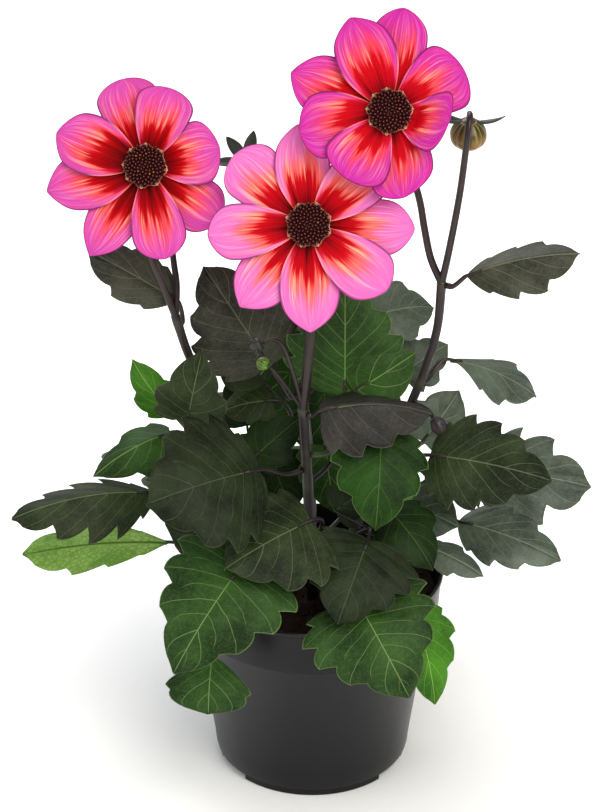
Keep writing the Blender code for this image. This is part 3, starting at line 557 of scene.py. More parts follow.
@dataclass(frozen=True)
class MouldedPlastic:
    """Injection-moulded polypropylene of a nursery pot: dark grey and satin, with painted shade darkening its
    rim band.

    It gives the eye soft broad highlights over faint upright scuffs and dust. The real moulded grain is finer
    than grain_mm, too fine to show, so it is drawn coarser.
    """

    name: str
    body: str
    scuff: str
    # The colour of the painted shade that the leaves cast on the rim band
    rim_shade: str
    roughness: float = 0.32
    scuff_mm: float = 31.25
    grain_mm: float = 0.5
    relief_mm: float = 0.2
    # Where the painted shade on the rim band starts and where it is full, in mm up the pot
    band_mm: tuple[float, float] = (104.0, 120.0)

    def build(self) -> bpy.types.Material:
        """Makes the material.

        Returns:
            The material.
        """
        made, tree, shader = blank(self.name, self.roughness, Specular_IOR_Level=0.26, IOR=1.49)
        place = add(tree, "TexCoord")
        spot = place.outputs["Object"]
        stretched = add(tree, "Mapping", spot, named={"Scale": (1.0, 1.0, 0.25)})
        haze = add(tree, "TexNoise", named={"Vector": stretched, "Scale": per_metre(self.scuff_mm),
                                            "Detail": 4.0})
        grain = add(tree, "TexNoise", named={"Vector": spot, "Scale": per_metre(self.grain_mm),
                                             "Detail": 1.0})
        scuffed = add(tree, "MixRGB", add(tree, "MapRange", haze, 0.45, 0.75, 0.0, 0.35), linear(self.body),
                      linear(self.scuff))
        height = add(tree, "SeparateXYZ", spot).outputs["Z"]
        # Painted shade: between the two heights of band_mm the colour darkens towards the rim band's shade,
        # and it stays dark above
        band = add(tree, "MapRange", height, *[level * MM for level in self.band_mm], 0.0, 0.85)
        colour = add(tree, "MixRGB", band, scuffed, linear(self.rim_shade))
        rough = add(tree, "MapRange", haze, 0.3, 0.7, self.roughness - 0.05, self.roughness + 0.08)
        bump = add(tree, "Bump", named={"Strength": 0.12, "Distance": self.relief_mm * MM, "Height": grain})
        tree.links.new(colour.outputs[0], shader.inputs["Base Color"])
        tree.links.new(rough.outputs[0], shader.inputs["Roughness"])
        tree.links.new(bump.outputs[0], shader.inputs["Normal"])
        return made


# Upper sides: a coat of wax makes them satin, with bronze pigment over the green of the older leaves
LEAF_UPPER = {
    Tone.DARK: LeafSkin("leaf_dark_bronze", "0D1508", "2D371F", "7A8462", "26390F", "565C46", 0.44),
    Tone.GREEN: LeafSkin("leaf_mid_green", "0F2408", "2B471D", "8EA666", "2F5C12", "7E9A5C", 0.46),
    Tone.BRIGHT: LeafSkin("leaf_young_green", "1C460A", "3C7218", "9CBC62", "4A861E", "A0BC70", 0.46),
    Tone.PALE: LeafSkin("leaf_pale_upper", "2A5220", "3B6A2B", "8FB060", "4A7A2C", "6E8A4A", 0.45),
}
# Undersides: no wax and air under the skin, so they look paler, greyer and matt, with raised veins
UNDERSIDE = {"vein_share": 0.5, "fine_share": 0.12, "roughness": 0.6}
LEAF_UNDER = {
    Tone.DARK: LeafSkin("leaf_dark_underside", "343E2A", "465236", "6C7850", "4C5A38", "4E4A3C",
                        heart_share=0.2, **UNDERSIDE),
    Tone.GREEN: LeafSkin("leaf_green_underside", "3C5A2C", "4E6E38", "7C9658", "56743C", "5E7A44",
                         heart_share=0.3, **UNDERSIDE),
    Tone.BRIGHT: LeafSkin("leaf_young_underside", "4C762C", "64903C", "94B462", "6A903C", "769A4C",
                          heart_share=0.3, **UNDERSIDE),
    Tone.PALE: LeafSkin("leaf_pale_underside", "5C8430", "7C9E4C", "3A5A20", "92AE62", "8CA868",
                        0.8, 0.3, 0.4, 0.6, net_mm=3.6, net_share=1.7),
}
# Leaves tilted to the sky, their grey partly a painted reflection, one browned as it aged, and bronze ones in
# full light, painted lighter
LEAF_SHEEN = LeafSkin("leaf_grey_sheen", "252F24", "515D4E", "929E88", "465A3A", "8A9686", 0.46, 0.12, 0.3,
                      roughness=0.44, specular=0.26)
LEAF_BROWNED = LeafSkin("leaf_browned", "131210", "302E28", "6C685E", "282A1C", "6A665A", 0.42, 0.12, 0.2,
                        roughness=0.46, specular=0.16)
LEAF_SUNLIT = LeafSkin("leaf_dark_sunlit", "181A10", "404134", "8A8C74", "2E3A1E", "74745E", 0.44, 0.12, 0.3,
                       roughness=0.46, specular=0.18)
# Leaves low in the plant or in its depth: darker copies of the greens, painted shade where little light
# reaches
LEAF_SHADED = LeafSkin("leaf_green_painted_shade", "030901", "122708", "4E6830", "163009", "4E6A34", 0.42)
LEAF_DIM = LeafSkin("leaf_dark_shaded", "091104", "242D19", "5A604A", "182A0C", "484E3A", 0.42)
# The leaves whose green differs from that of their tone: painted shade, painted light and painted sky
# reflection for where they stand, and one browned leaf
LEAF_OWN = {
    "leaf_a1": LEAF_SUNLIT,
    "leaf_a7": LEAF_SHADED,
    "leaf_b1": LEAF_BROWNED,
    # Painted shade: a darker copy of the young green for a leaf deep under the bloom
    "leaf_b3": LeafSkin("leaf_young_painted_shade", "061203", "1B3C0A", "5E7A36", "285210", "8CA664", 0.42),
    "leaf_b4": LEAF_DIM,
    "leaf_b6": LEAF_DIM,
    "leaf_c1": LEAF_SUNLIT,
    "leaf_c2": LEAF_SHEEN,
    "leaf_c3": LEAF_SHEEN,
    "leaf_c4": LEAF_SHEEN,
    "leaf_c6": LEAF_SHEEN,
    "leaf_c7": LEAF_SHEEN,
    "leaf_c8": LEAF_SHEEN,
    "leaf_c9": LEAF_SHADED,
    "leaf_d1": LEAF_SUNLIT,
    "leaf_d2": LEAF_SHEEN,
}
# Petal fronts: velvet from dome-shaped cells, so colour stays full and gloss is nearly none
PETAL_FRONT = {
    Hue.ROSE: PetalSkin("petal_rose", "2A0102", "800206", "A8040C", "CE3E46", "F0A07E", "C43C7C", "B83E92",
                        "BE4086", "6A205C", reach=0.52),
    Hue.SOFT: PetalSkin("petal_soft", "3A0103", "9E0410", "B20614", "DC5A56", "F4B08A", "D0609E", "CC62A8",
                        "CE5AA0", "72285E", "FAC4E4", reach=0.48),
    Hue.DEEP: PetalSkin("petal_deep", "480105", "A80412", "B20612", "CC3848", "F09A7A", "BA2A72", "B2268A",
                        "B6247E", "641C56", "EC90CC", reach=0.52),
}
# Petal backs: flatter cells and less pigment, so they look paler and dusty
PETAL_BACK = PetalSkin("petal_back", "8E3050", "B85070", "C05A78", "CC7090", "D898AC", "D870A4", "D25CA0",
                       "D060A0", "8E2C78")
# Stems and stalks: smooth skin with maroon pigment, or bare green on the young leaves
STEM = StemSkin("stem_maroon", "0F0708", "2E1C18", "3E3F26")
STALK = StemSkin("stalk_brown", "1C100E", "3C2824", "52542E")
STALK_GREEN = StemSkin("stalk_green", "43522A", "64743C", "7E8E4A")
# Damp peat: nearly black and quite matt, with dry brown crumbs lying on it
PEAT = Clouded("peat_damp", "110A07", "2A1C14", 7.0, 0.92, grain_mm=0.9, bump_mm=0.5, specular=0.15)
CRUMB = Clouded("peat_crumb", "18100B", "3A2719", 3.0, 0.95, grain_mm=0.6, bump_mm=0.4, specular=0.1)
# The pot's polypropylene: a satin anthracite that shows its roundness in one broad highlight, with painted
# shade on its rim band
PLASTIC = MouldedPlastic("polypropylene_anthracite", "0A0B0E", "14161A", "020204")
# Disc: dark matt floret buds, a few split open to golden pollen, on a maroon base
FLORET = FloretSkin("floret_maroon", "220406", "5E1410", "B4604A")
STAMEN = FloretSkin("floret_golden", "2C0806", "8A4A16", "DCA850")
RECEPTACLE = Clouded("disc_base_maroon", "160508", "240A0A", 3.0, 0.7)
# Chaff and bracts: papery chaff catches the light round the disc, green outer bracts and brown inner ones
CHAFF = Striped("chaff_cream", "5A3A28", "A8805C", "BE9874", "D8BE9E", 10.0)
CUP_SKIN = Striped("bract_green", "2E3D1C", "4F6230", "46572A", "76854C", 18.0)
INNER_BRACT = Striped("bract_brown", "5A4A2C", "8A7A48", "7A6A40", "C0B080", 20.0)
# Bud scales: smooth and a little glossier than leaves, in bands of bronze, grey-brown, green or purple
BUD_SKINS = {
    "bud": Striped("bud_bronze", "16220E", "947C3A", "84601E", "2A2410", 3.0, 0.3),
    "cup": Striped("bud_grey_brown", "100F0C", "332F28", "1E1B16", "4A4634", 14.0),
    "leaf_bright": Striped("bud_fresh_green", "4E7A0A", "7CA020", "0C0E06", "26300E", 5.0, 0.3),
    "disc": Striped("bud_purple", "0E090B", "54494C", "1C1518", "6A6064", 10.0),
}
BUD_BRACT = Striped("bud_bract_dark", "141A14", "2E342A", "20261E", "3C4034", 12.0)


def finish(skin: Skin) -> bpy.types.Material:
    """The material of a finish, built once."""
    return bpy.data.materials.get(skin.name) or skin.build()


def only(obj: bpy.types.Object) -> None:
    """Selects one object and nothing else.

    Args:
        obj: The object.
    """
    bpy.ops.object.select_all(action="DESELECT")
    obj.select_set(True)
    bpy.context.view_layer.objects.active = obj


def modify(obj: bpy.types.Object, kind: str, **settings: object) -> None:
    """Gives an object a modifier and applies it.

    Args:
        obj: The object.
        kind: The modifier's type.
        settings: Properties of the modifier.
    """
    modifier = obj.modifiers.new(kind.lower(), kind)
    for key, value in settings.items():
        setattr(modifier, key, value)
    only(obj)
    bpy.ops.object.modifier_apply(modifier=modifier.name)


def weld(obj: bpy.types.Object, outward: bool) -> None:
    """Merges an object's doubled points and, for a closed form, turns its faces outwards.

    Args:
        obj: The object.
        outward: Whether it is a closed form.
    """
    only(obj)
    bpy.ops.object.mode_set(mode="EDIT")
    bpy.ops.mesh.select_all(action="SELECT")
    bpy.ops.mesh.remove_doubles(threshold=DOUBLES)
    if outward:
        bpy.ops.mesh.normals_make_consistent(inside=False)
    bpy.ops.object.mode_set(mode="OBJECT")


def dress(obj: bpy.types.Object, *skins: Skin) -> None:
    """Gives an object its finishes, the first for the upper or outer side.

    Args:
        obj: The object.
        skins: Its finishes.
    """
    obj.data.materials.clear()
    for skin in skins:
        obj.data.materials.append(finish(skin))


def join(pieces: Sequence[bpy.types.Object], name: str) -> bpy.types.Object:
    """Joins pieces into one object of this name.

    Args:
        pieces: The pieces, at least one.
        name: The name of the whole and of its mesh.

    Returns:
        The whole.
    """
    bpy.ops.object.select_all(action="DESELECT")
    for piece in pieces:
        piece.select_set(True)
    bpy.context.view_layer.objects.active = pieces[0]
    if len(pieces) > 1:
        bpy.ops.object.join()
    made = bpy.context.view_layer.objects.active
    made.name = made.data.name = name
    return made


def publish(obj: bpy.types.Object, slot: str, *nodes: str) -> bpy.types.Object:
    """Lets a finished piece stand for nodes of the frame.

    Args:
        obj: The piece, in its place.
        slot: The record's material slot of the piece's finish; it is not used.
        nodes: The frame's nodes that it stands for.

    Returns:
        The piece.
    """
    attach(obj, BODY)
    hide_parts(*nodes)
    log.info("%s stands for %s with %d faces", obj.name, ", ".join(nodes), len(obj.data.polygons))
    return obj


def mark(obj: bpy.types.Object, marks: Sequence[Place], uvs: Sequence[Place]) -> None:
    """Writes each point's marks attribute and UV place.

    Args:
        obj: The object.
        marks: The attribute's three values for each point.
        uvs: The UV place of each point.
    """
    mesh = obj.data
    attribute = mesh.attributes.new("marks", "FLOAT_VECTOR", "POINT")
    for vertex, value in enumerate(marks):
        attribute.data[vertex].vector = value
    layer = mesh.uv_layers.active.data
    for loop in mesh.loops:
        layer[loop.index].uv = uvs[loop.vertex_index]


def grid(name: str, rows: Sequence[float], columns: Sequence[float],
         point: Formula) -> tuple[bpy.types.Object, list[tuple[float, float]]]:
    """A grid primitive with each of its points put in its place by a formula.

    Args:
        name: The object's name.
        rows: The values of u.
        columns: The values of v.
        point: The place in mm at u and v.

    Returns:
        The grid, and the u and v of each of its points.
    """
    bpy.ops.object.select_all(action="DESELECT")
    bpy.ops.mesh.primitive_grid_add(x_subdivisions=len(rows) - 1, y_subdivisions=len(columns) - 1, size=2.0)
    obj = bpy.context.active_object
    obj.name = name
    places = []
    for vertex in obj.data.vertices:
        u = rows[round((vertex.co.x + 1) / 2 * (len(rows) - 1))]
        v = columns[round((vertex.co.y + 1) / 2 * (len(columns) - 1))]
        vertex.co = point(u, v) * MM
        places.append((u, v))
    return obj, places


def thin(name: str, rows: Sequence[float], columns: Sequence[float], point: Formula, thickness: float,
         skins: Sequence[Skin], marks: Formula | None = None) -> bpy.types.Object:
    """A thin bent piece: a grid primitive shaped by a formula, given a thickness and a finish on each side.

    Args:
        name: The object's name.
        rows: The values of u from foot to tip.
        columns: The values of v from -1 at one edge to 1 at the other.
        point: The middle surface's place in mm at u and v.
        thickness: The piece's thickness in mm.
        skins: The finishes of the upper and the lower side.
        marks: What the marks attribute holds at u and v.

    Returns:
        The piece.
    """
    obj, places = grid(name, rows, columns, point)
    values = [marks(u, v) if marks else (0.0, 0.0, 0.0) for u, v in places]
    mark(obj, values, [(u, (v + 1) / 2) for u, v in places])
    weld(obj, False)
    dress(obj, *skins)
    modify(obj, "SOLIDIFY", thickness=thickness * MM, offset=0.0, material_offset=len(skins) - 1)
    obj.data.shade_smooth()
    return obj


def sweep(name: str, path: Sequence[Place], radii: Sequence[float], skin: Skin, sides: int = 10,
          ridge: float = 0.0, joints: Sequence[float] = ()) -> bpy.types.Object:
    """A round limb along a path: a sphere primitive whose rings are drawn out along it.

    Args:
        name: The object's name.
        path: The points of its centre line in mm.
        radii: Its radii in mm, spread evenly along the path.
        skin: Its finish.
        sides: How many sides it has.
        ridge: How far its long ridges stand out, as a share of the radius.
        joints: Places along the path, from 0 to 1, where it swells at a joint.

    Returns:
        The limb.
    """
    points = [Vector(p) for p in path]
    count = len(points)
    bpy.ops.object.select_all(action="DESELECT")
    bpy.ops.mesh.primitive_uv_sphere_add(segments=sides, ring_count=count + 1, radius=1.0)
    obj = bpy.context.active_object
    obj.name = name
    headings = [(points[min(i + 1, count - 1)] - points[max(i - 1, 0)]).normalized() for i in range(count)]
    axis = headings[0].orthogonal().normalized()
    axes = [axis]
    for before, after in zip(headings, headings[1:]):
        axis = before.rotation_difference(after) @ axis
        axes.append(axis)
    lengths = [0.0]
    for before, after in zip(points, points[1:]):
        lengths.append(lengths[-1] + (after - before).length)
    values, uvs = [], []
    for vertex in obj.data.vertices:
        step = round(math.acos(max(-1.0, min(1.0, -vertex.co.z))) / math.pi * (count + 1)) - 1
        at = min(max(step, 0), count - 1)
        turn = math.atan2(vertex.co.y, vertex.co.x)
        t = at / (count - 1)
        low = min(int(t * (len(radii) - 1)), len(radii) - 2)
        radius = radii[low] + (radii[low + 1] - radii[low]) * (t * (len(radii) - 1) - low)
        swell = sum(math.exp(-((lengths[at] - j * lengths[-1]) / JOINT_REACH) ** 2) for j in joints)
        radius *= 1 + ridge * math.cos(RIDGES * turn) + JOINT_SWELL * min(swell, 1.0)
        out = axes[at] * math.cos(turn) + headings[at].cross(axes[at]) * math.sin(turn)
        if 0 <= step < count:
            vertex.co = (points[at] + out * radius) * MM
        else:
            vertex.co = points[at] * MM
        values.append((lengths[at], math.cos(turn), math.sin(turn)))
        uvs.append((min(swell, 1.0), t))
    mark(obj, values, uvs)
    dress(obj, skin)
    obj.data.shade_smooth()
    return obj


def turned(name: str, profile: Sequence[Place], steps: int, skin: Skin) -> bpy.types.Object:
    """A form spun about Z from a profile of (radius, height) in mm whose ends lie on the axis.

    Args:
        name: The object's name.
        profile: The profile's points.
        steps: How many steps the turn has.
        skin: The form's finish.

    Returns:
        The form.
    """
    bpy.ops.object.select_all(action="DESELECT")
    bpy.ops.mesh.primitive_grid_add(x_subdivisions=len(profile) - 1, y_subdivisions=1, size=2.0)
    obj = bpy.context.active_object
    obj.name = name
    for vertex in obj.data.vertices:
        radius, height = profile[round((vertex.co.x + 1) / 2 * (len(profile) - 1))]
        vertex.co = Vector((radius, 0.0, height)) * MM
    weld(obj, False)
    bpy.ops.object.mode_set(mode="EDIT")
    bpy.ops.mesh.select_all(action="SELECT")
    bpy.ops.mesh.spin(steps=steps, angle=math.tau, center=(0, 0, 0), axis=(0, 0, 1), use_auto_merge=True)
    bpy.ops.mesh.select_all(action="SELECT")
    bpy.ops.mesh.remove_doubles(threshold=SPUN_DOUBLES)
    bpy.ops.mesh.normals_make_consistent(inside=False)
    bpy.ops.object.mode_set(mode="OBJECT")
    dress(obj, skin)
    return obj


def spline(points: Sequence[Place], steps: int) -> list[Vector]:
    """Points of a smooth curve through the given ones.

    Args:
        points: The points that the curve passes through.
        steps: How many steps lie between each two.

    Returns:
        The curve's points.
    """
    points = [Vector(p) for p in points]
    ends = [points[0] * 2 - points[1], *points, points[-1] * 2 - points[-2]]
    route = []
    for i in range(1, len(ends) - 2):
        p0, p1, p2, p3 = ends[i - 1:i + 3]
        for k in range(steps):
            t = k / steps
            route.append(0.5 * (2 * p1 + (p2 - p0) * t + (2 * p0 - 5 * p1 + 4 * p2 - p3) * t ** 2
                                + (3 * p1 - 3 * p2 + p3 - p0) * t ** 3))
    return [*route, points[-1]]


@dataclass(frozen=True)
class Pot:
    """The nursery pot, in mm: tapered wall, stepped rim band, drained floor, notched foot and boss."""

    height: float = 137.0
    rim_radius: float = 85.0
    lip: float = 1.6
    band_bottom: float = 106.0
    band_radius: float = 81.8
    ledge: float = 3.0
    wall_top: float = 76.6
    wall_foot: float = 63.5
    wall: float = 1.8
    foot_height: float = 5.0
    foot_outer: float = 61.6
    foot_inner: float = 55.6
    floor_under: float = 3.0
    floor_top: float = 6.0
    boss: float = 14.0
    notches: tuple[float, ...] = (-30.0, 90.0, 210.0)
    notch_width: float = 31.0
    notch_depth: float = 16.0
    notch_height: float = 7.2
    drains: int = 6
    drain_radius: float = 4.0
    drain_circle: float = 36.0
    drain_cut: float = 30.0
    crease: float = 32.0
    steps: int = 128

    def profile(self) -> list[tuple[float, float]]:
        """The section from the axis on the floor's top, over the rim and round to the axis underneath.

        Returns:
            Its points as (radius, height) in millimetres.
        """
        ledge = self.band_bottom - self.ledge
        return [
            (0, self.floor_top), (self.wall_foot - self.wall - 3, self.floor_top),
            (self.wall_foot - self.wall, self.floor_top + 3), (self.wall_top - self.wall, ledge),
            (self.band_radius - self.wall, self.band_bottom),
            (self.rim_radius - self.lip - self.wall, self.height - 2 * self.lip),
            (self.rim_radius - self.lip - 0.4, self.height - 0.4), (self.rim_radius - self.lip, self.height),
            (self.rim_radius - 0.5, self.height), (self.rim_radius, self.height - 0.5),
            (self.rim_radius, self.height - 2.6), (self.rim_radius - 0.5, self.height - 3.2),
            (self.rim_radius - 1.2, self.height - 3.6),
            (self.band_radius + 0.3, self.band_bottom + 2.0), (self.band_radius, self.band_bottom + 0.6),
            (self.band_radius - 0.8, self.band_bottom), (self.wall_top + 0.8, ledge + 0.4),
            (self.wall_top, ledge - 0.6), (self.wall_foot + 1.4, self.foot_height + 12),
            (self.wall_foot + 0.6, self.foot_height + 4), (self.wall_foot - 0.3, self.foot_height + 0.6),
            (self.foot_outer, self.foot_height), (self.foot_outer, 0.6), (self.foot_outer - 0.6, 0),
            (self.foot_inner + 0.6, 0), (self.foot_inner, 0.6), (self.foot_inner, self.floor_under),
            (self.boss, self.floor_under), (self.boss, 0), (0, 0),
        ]

    def cut(self, obj: bpy.types.Object, cutter: bpy.types.Object) -> None:
        """Takes a cutter out of the pot and removes it."""
        modify(obj, "BOOLEAN", operation="DIFFERENCE", solver="EXACT", object=cutter)
        bpy.data.objects.remove(cutter)

    def build(self) -> bpy.types.Object:
        """Spins the pot, cuts its notches and drain holes, and shades its round faces smooth.

        Returns:
            The pot.
        """
        obj = turned("nursery_pot", self.profile(), self.steps, PLASTIC)
        size = Vector((self.notch_depth, self.notch_width, self.notch_height)) * MM
        for azimuth in self.notches:
            place = unit(azimuth, 0) * (self.foot_outer + self.foot_inner) / 2 * MM
            bpy.ops.mesh.primitive_cube_add(size=1.0, location=place, rotation=(0, 0, math.radians(azimuth)),
                                            scale=size)
            self.cut(obj, bpy.context.active_object)
        for i in range(self.drains):
            place = unit(i * 360 / self.drains, 0) * self.drain_circle * MM
            bpy.ops.mesh.primitive_cylinder_add(vertices=32, radius=self.drain_radius * MM,
                                                depth=self.drain_cut * MM, location=place)
            self.cut(obj, bpy.context.active_object)
        only(obj)
        bpy.ops.object.shade_smooth_by_angle(angle=math.radians(self.crease))
        return publish(obj, "pot", "pot")


@dataclass(frozen=True)
class Peat:
    """The peat: a plug in the pot with a lumpy top, crumbs and fibres."""

    top: float = 123.0
    lumps: float = 1.6
    edge: float = 80.0
    side: float = 74.0
    shoulder: float = 104.0
    foot: float = 61.0
    bottom: float = 6.3
    rings: int = 44
    sectors: int = 144
    crumbs: int = 420
    fibres: int = 70

    def height(self, x: float, y: float) -> float:
        """How high the lumpy top stands at a place.

        Args:
            x: The place along X in mm.
            y: The place along Y in mm.

        Returns:
            The height in millimetres.
        """
        across = math.sin(x * 0.31 + 1.3 * math.sin(y * 0.17))
        along = math.cos(y * 0.27 - 0.9 * math.sin(x * 0.13))
        rough = noise.fractal(Vector((x, y, 0)) * 0.16, 0.8, 2.1, 4)
        return self.top + self.lumps * (across + along) / 2 + 1.5 * rough

    def surface(self) -> bpy.types.Object:
        """Draws the plug from its middle over the top and down to the middle of its underside.

        Returns:
            The plug.
        """
        below = [(self.edge, self.top - 6.0), (self.side, self.shoulder), (self.foot, self.bottom),
                 (0.0, self.bottom)]
        rows = [i / self.rings for i in range(self.rings + 1)] + [2.0 + k for k in range(len(below))]
        columns = [-1 + 2 * k / self.sectors for k in range(self.sectors + 1)]

        def point(u: float, v: float) -> Vector:
            """A place on the plug.

            Args:
                u: From 0 in the middle to 1 at the edge, then 2, 3 and so on at the places below it.
                v: The turn round the plug, from -1 to 1.

            Returns:
                The place in millimetres.
            """
            a = -math.pi * v
            if u > 1.0:
                radius, z = below[round(u) - 2]
                return Vector((math.cos(a) * radius, math.sin(a) * radius, z))
            radius = self.edge * u ** 0.85
            x, y = math.cos(a) * radius, math.sin(a) * radius
            return Vector((x, y, self.height(x, y) - 3.0 * smooth(0.93, 1.0, u)))

        obj, _ = grid("plug", rows, columns, point)
        weld(obj, True)
        dress(obj, PEAT)
        obj.data.shade_smooth()
        return obj

    def build(self) -> bpy.types.Object:
        """Strews crumbs and fibres over the plug and joins them to it.

        Returns:
            The peat.
        """
        draw = random.Random(7)
        pieces = [self.surface()]
        bpy.ops.object.select_all(action="DESELECT")
        bpy.ops.mesh.primitive_ico_sphere_add(subdivisions=2, radius=1.0)
        crumb = bpy.context.active_object
        dress(crumb, CRUMB)
        for k in range(self.crumbs):
            radius = self.edge * 0.97 * math.sqrt(draw.random())
            turn = draw.uniform(0, math.tau)
            x, y = radius * math.cos(turn), radius * math.sin(turn)
            size = draw.uniform(0.5, 1.9)
            copy = bpy.data.objects.new("crumb", crumb.data.copy())
            bpy.context.scene.collection.objects.link(copy)
            squash = Vector((draw.uniform(0.8, 1.5), draw.uniform(0.7, 1.2), draw.uniform(0.5, 0.9)))
            spin = Quaternion(unit(draw.uniform(0, 360), draw.uniform(0, 90)), draw.uniform(0, 6))
            centre = Vector((x, y, self.height(x, y) + size * 0.25))
            for vertex in copy.data.vertices:
                rough = 1 + 0.35 * noise.noise(vertex.co * 1.7 + centre)
                vertex.co = (centre + spin @ (vertex.co * squash) * size * rough) * MM
            pieces.append(copy)
        bpy.data.objects.remove(crumb)
        for k in range(self.fibres):
            radius = self.edge * 0.92 * math.sqrt(draw.random())
            turn = draw.uniform(0, math.tau)
            x, y = radius * math.cos(turn), radius * math.sin(turn)
            heading = draw.uniform(0, math.tau)
            bend = draw.uniform(-1.2, 1.2)
            path = []
            for i in range(6):
                path.append((x, y, self.height(x, y) + 0.5 + 0.8 * math.sin(math.pi * i / 5)))
                x += math.cos(heading) * 2.0
                y += math.sin(heading) * 2.0
                heading += bend * 0.3
            if x * x + y * y < (self.edge * 0.95) ** 2:
                pieces.append(sweep("fibre", path, [0.16, 0.22, 0.12], CRUMB, 5))
        return publish(join(pieces, "peat_filling"), "peat", "peat")


SHAPE_TIP = 0.9
TOOTH_PEAK = 0.72
TOOTH_ROWS = (0.0, 0.12, 0.24, 0.36, 0.48, 0.60, 0.68, 0.72, 0.78, 0.88)
BLADE_COLUMNS = 22
VEIN_SWEEP = 2.0
WAVE = 1.5
BLADE_THICKNESS = 0.55
STALK_GAP = 0.45


def tooth(u: float, teeth: int) -> float:
    """How far out a leaf's margin stands at a place along it.

    Args:
        u: The place along the blade, from 0 at its base to 1 at its tip.
        teeth: How many teeth a side has.

    Returns:
        From 0 in a notch to 1 at a tooth's point.
    """
    if u >= 1.0:
        return 0.5
    phase = u * teeth % 1.0
    if phase <= TOOTH_PEAK:
        return math.sin(math.pi / 2 * (phase / TOOTH_PEAK) ** 0.8)
    return 1.0 - ((phase - TOOTH_PEAK) / (1 - TOOTH_PEAK)) ** 0.8


@dataclass(frozen=True)
class Blade:
    """One leaf or leaflet: where its blade starts and ends, its width, the way its face looks, its form."""

    base: Place
    tip: Place
    width: float
    face: tuple[float, float]
    arch: float = 5.0
    fold: float = 8.0
    teeth: int = 4
    back: float = 0.14
    full: float = 0.55
    bite: float = 0.20

    def frame(self) -> tuple[Vector, Vector, Vector, Vector]:
        """The blade's own axes.

        Returns:
            Its base, its chord from base to tip, the direction of its side and its upper normal.
        """
        base, tip = Vector(self.base), Vector(self.tip)
        chord = tip - base
        along = chord.normalized()
        face = unit(*self.face)
        normal = (face - along * face.dot(along)).normalized()
        return base, chord, normal.cross(along), normal

    def point(self, u: float, v: float) -> Vector:
        """A place on the blade's middle surface, without its relief.

        Args:
            u: Where on the midrib the place's side vein starts, from 0 to 1.
            v: The place between the margins, from -1 to 1.

        Returns:
            The place in millimetres.
        """
        base, chord, side, normal = self.frame()
        peak = self.full / (self.full + SHAPE_TIP)
        top = peak ** self.full * (1 - peak) ** SHAPE_TIP
        half = self.width / 2 * (u ** self.full * (1 - u) ** SHAPE_TIP) / top
        reach = abs(v) * (1 - self.bite * (1 - tooth(u, self.teeth)))
        foot = u ** VEIN_SWEEP
        margin = u - self.back * 4 * math.sqrt(u) * (1 - math.sqrt(u))
        along = foot + (margin - foot) * reach
        across = half * reach
        turn = math.radians(self.fold)
        lift = self.arch * 4 * along * (1 - along) - across * math.sin(turn)
        lift += WAVE * self.width / 60 * reach ** 2 * math.sin(9 * u + self.width + (2.3 if v > 0 else 0.0))
        return base + chord * along + side * math.copysign(across * math.cos(turn), v) + normal * lift

    def marks(self, u: float, v: float) -> Vector:
        """What the leaf's finish reads at a place.

        Args:
            u: Where on the midrib the place's side vein starts, from 0 to 1.
            v: The place between the margins, from -1 to 1.

        Returns:
            The vein phase, and the distances from the midrib and along it in millimetres.
        """
        base, chord, side, _ = self.frame()
        off = self.point(u, v) - base
        return Vector((u * self.teeth - TOOTH_PEAK, off.dot(side), off.dot(chord.normalized())))

    def surface(self, u: float, v: float) -> Vector:
        """A place on the middle surface with its puckers between the veins and its groove at the midrib.

        Args:
            u: Where on the midrib the place's side vein starts, from 0 to 1.
            v: The place between the margins, from -1 to 1.

        Returns:
            The place in millimetres.
        """
        normal = self.frame()[3]
        phase, across, _ = self.marks(u, v)
        phase += VEIN_LEAN * (1 - abs(v)) ** VEIN_CURVE
        pucker = 0.5 * self.width / 60 * math.sin(math.pi * phase) ** 2 * (4 * abs(v) * (1 - abs(v))) ** 0.7
        pucker *= smooth(0.0, 0.35, u)
        groove = 0.7 * math.exp(-(across / 1.3) ** 2)
        return self.point(u, v) + normal * (pucker - groove)

    def build(self, upper: Skin, under: Skin) -> list[bpy.types.Object]:
        """Makes the blade and the rib that stands out along its underside.

        Args:
            upper: The finish of the upper side.
            under: The finish of the underside.

        Returns:
            The blade and its rib.
        """
        rows = [(i + phase) / self.teeth for i in range(self.teeth) for phase in TOOTH_ROWS] + [1.0]
        columns = [-1 + 2 * k / BLADE_COLUMNS for k in range(BLADE_COLUMNS + 1)]
        blade = thin("blade", rows, columns, self.surface, BLADE_THICKNESS, (upper, under), self.marks)
        normal = self.frame()[3]
        path = [self.surface((0.02 + 0.94 * k / 12) ** 0.5, 0.0) - normal * 0.55 for k in range(13)]
        return [blade, sweep("rib", path, [1.0, 0.7, 0.3], under, 6)]


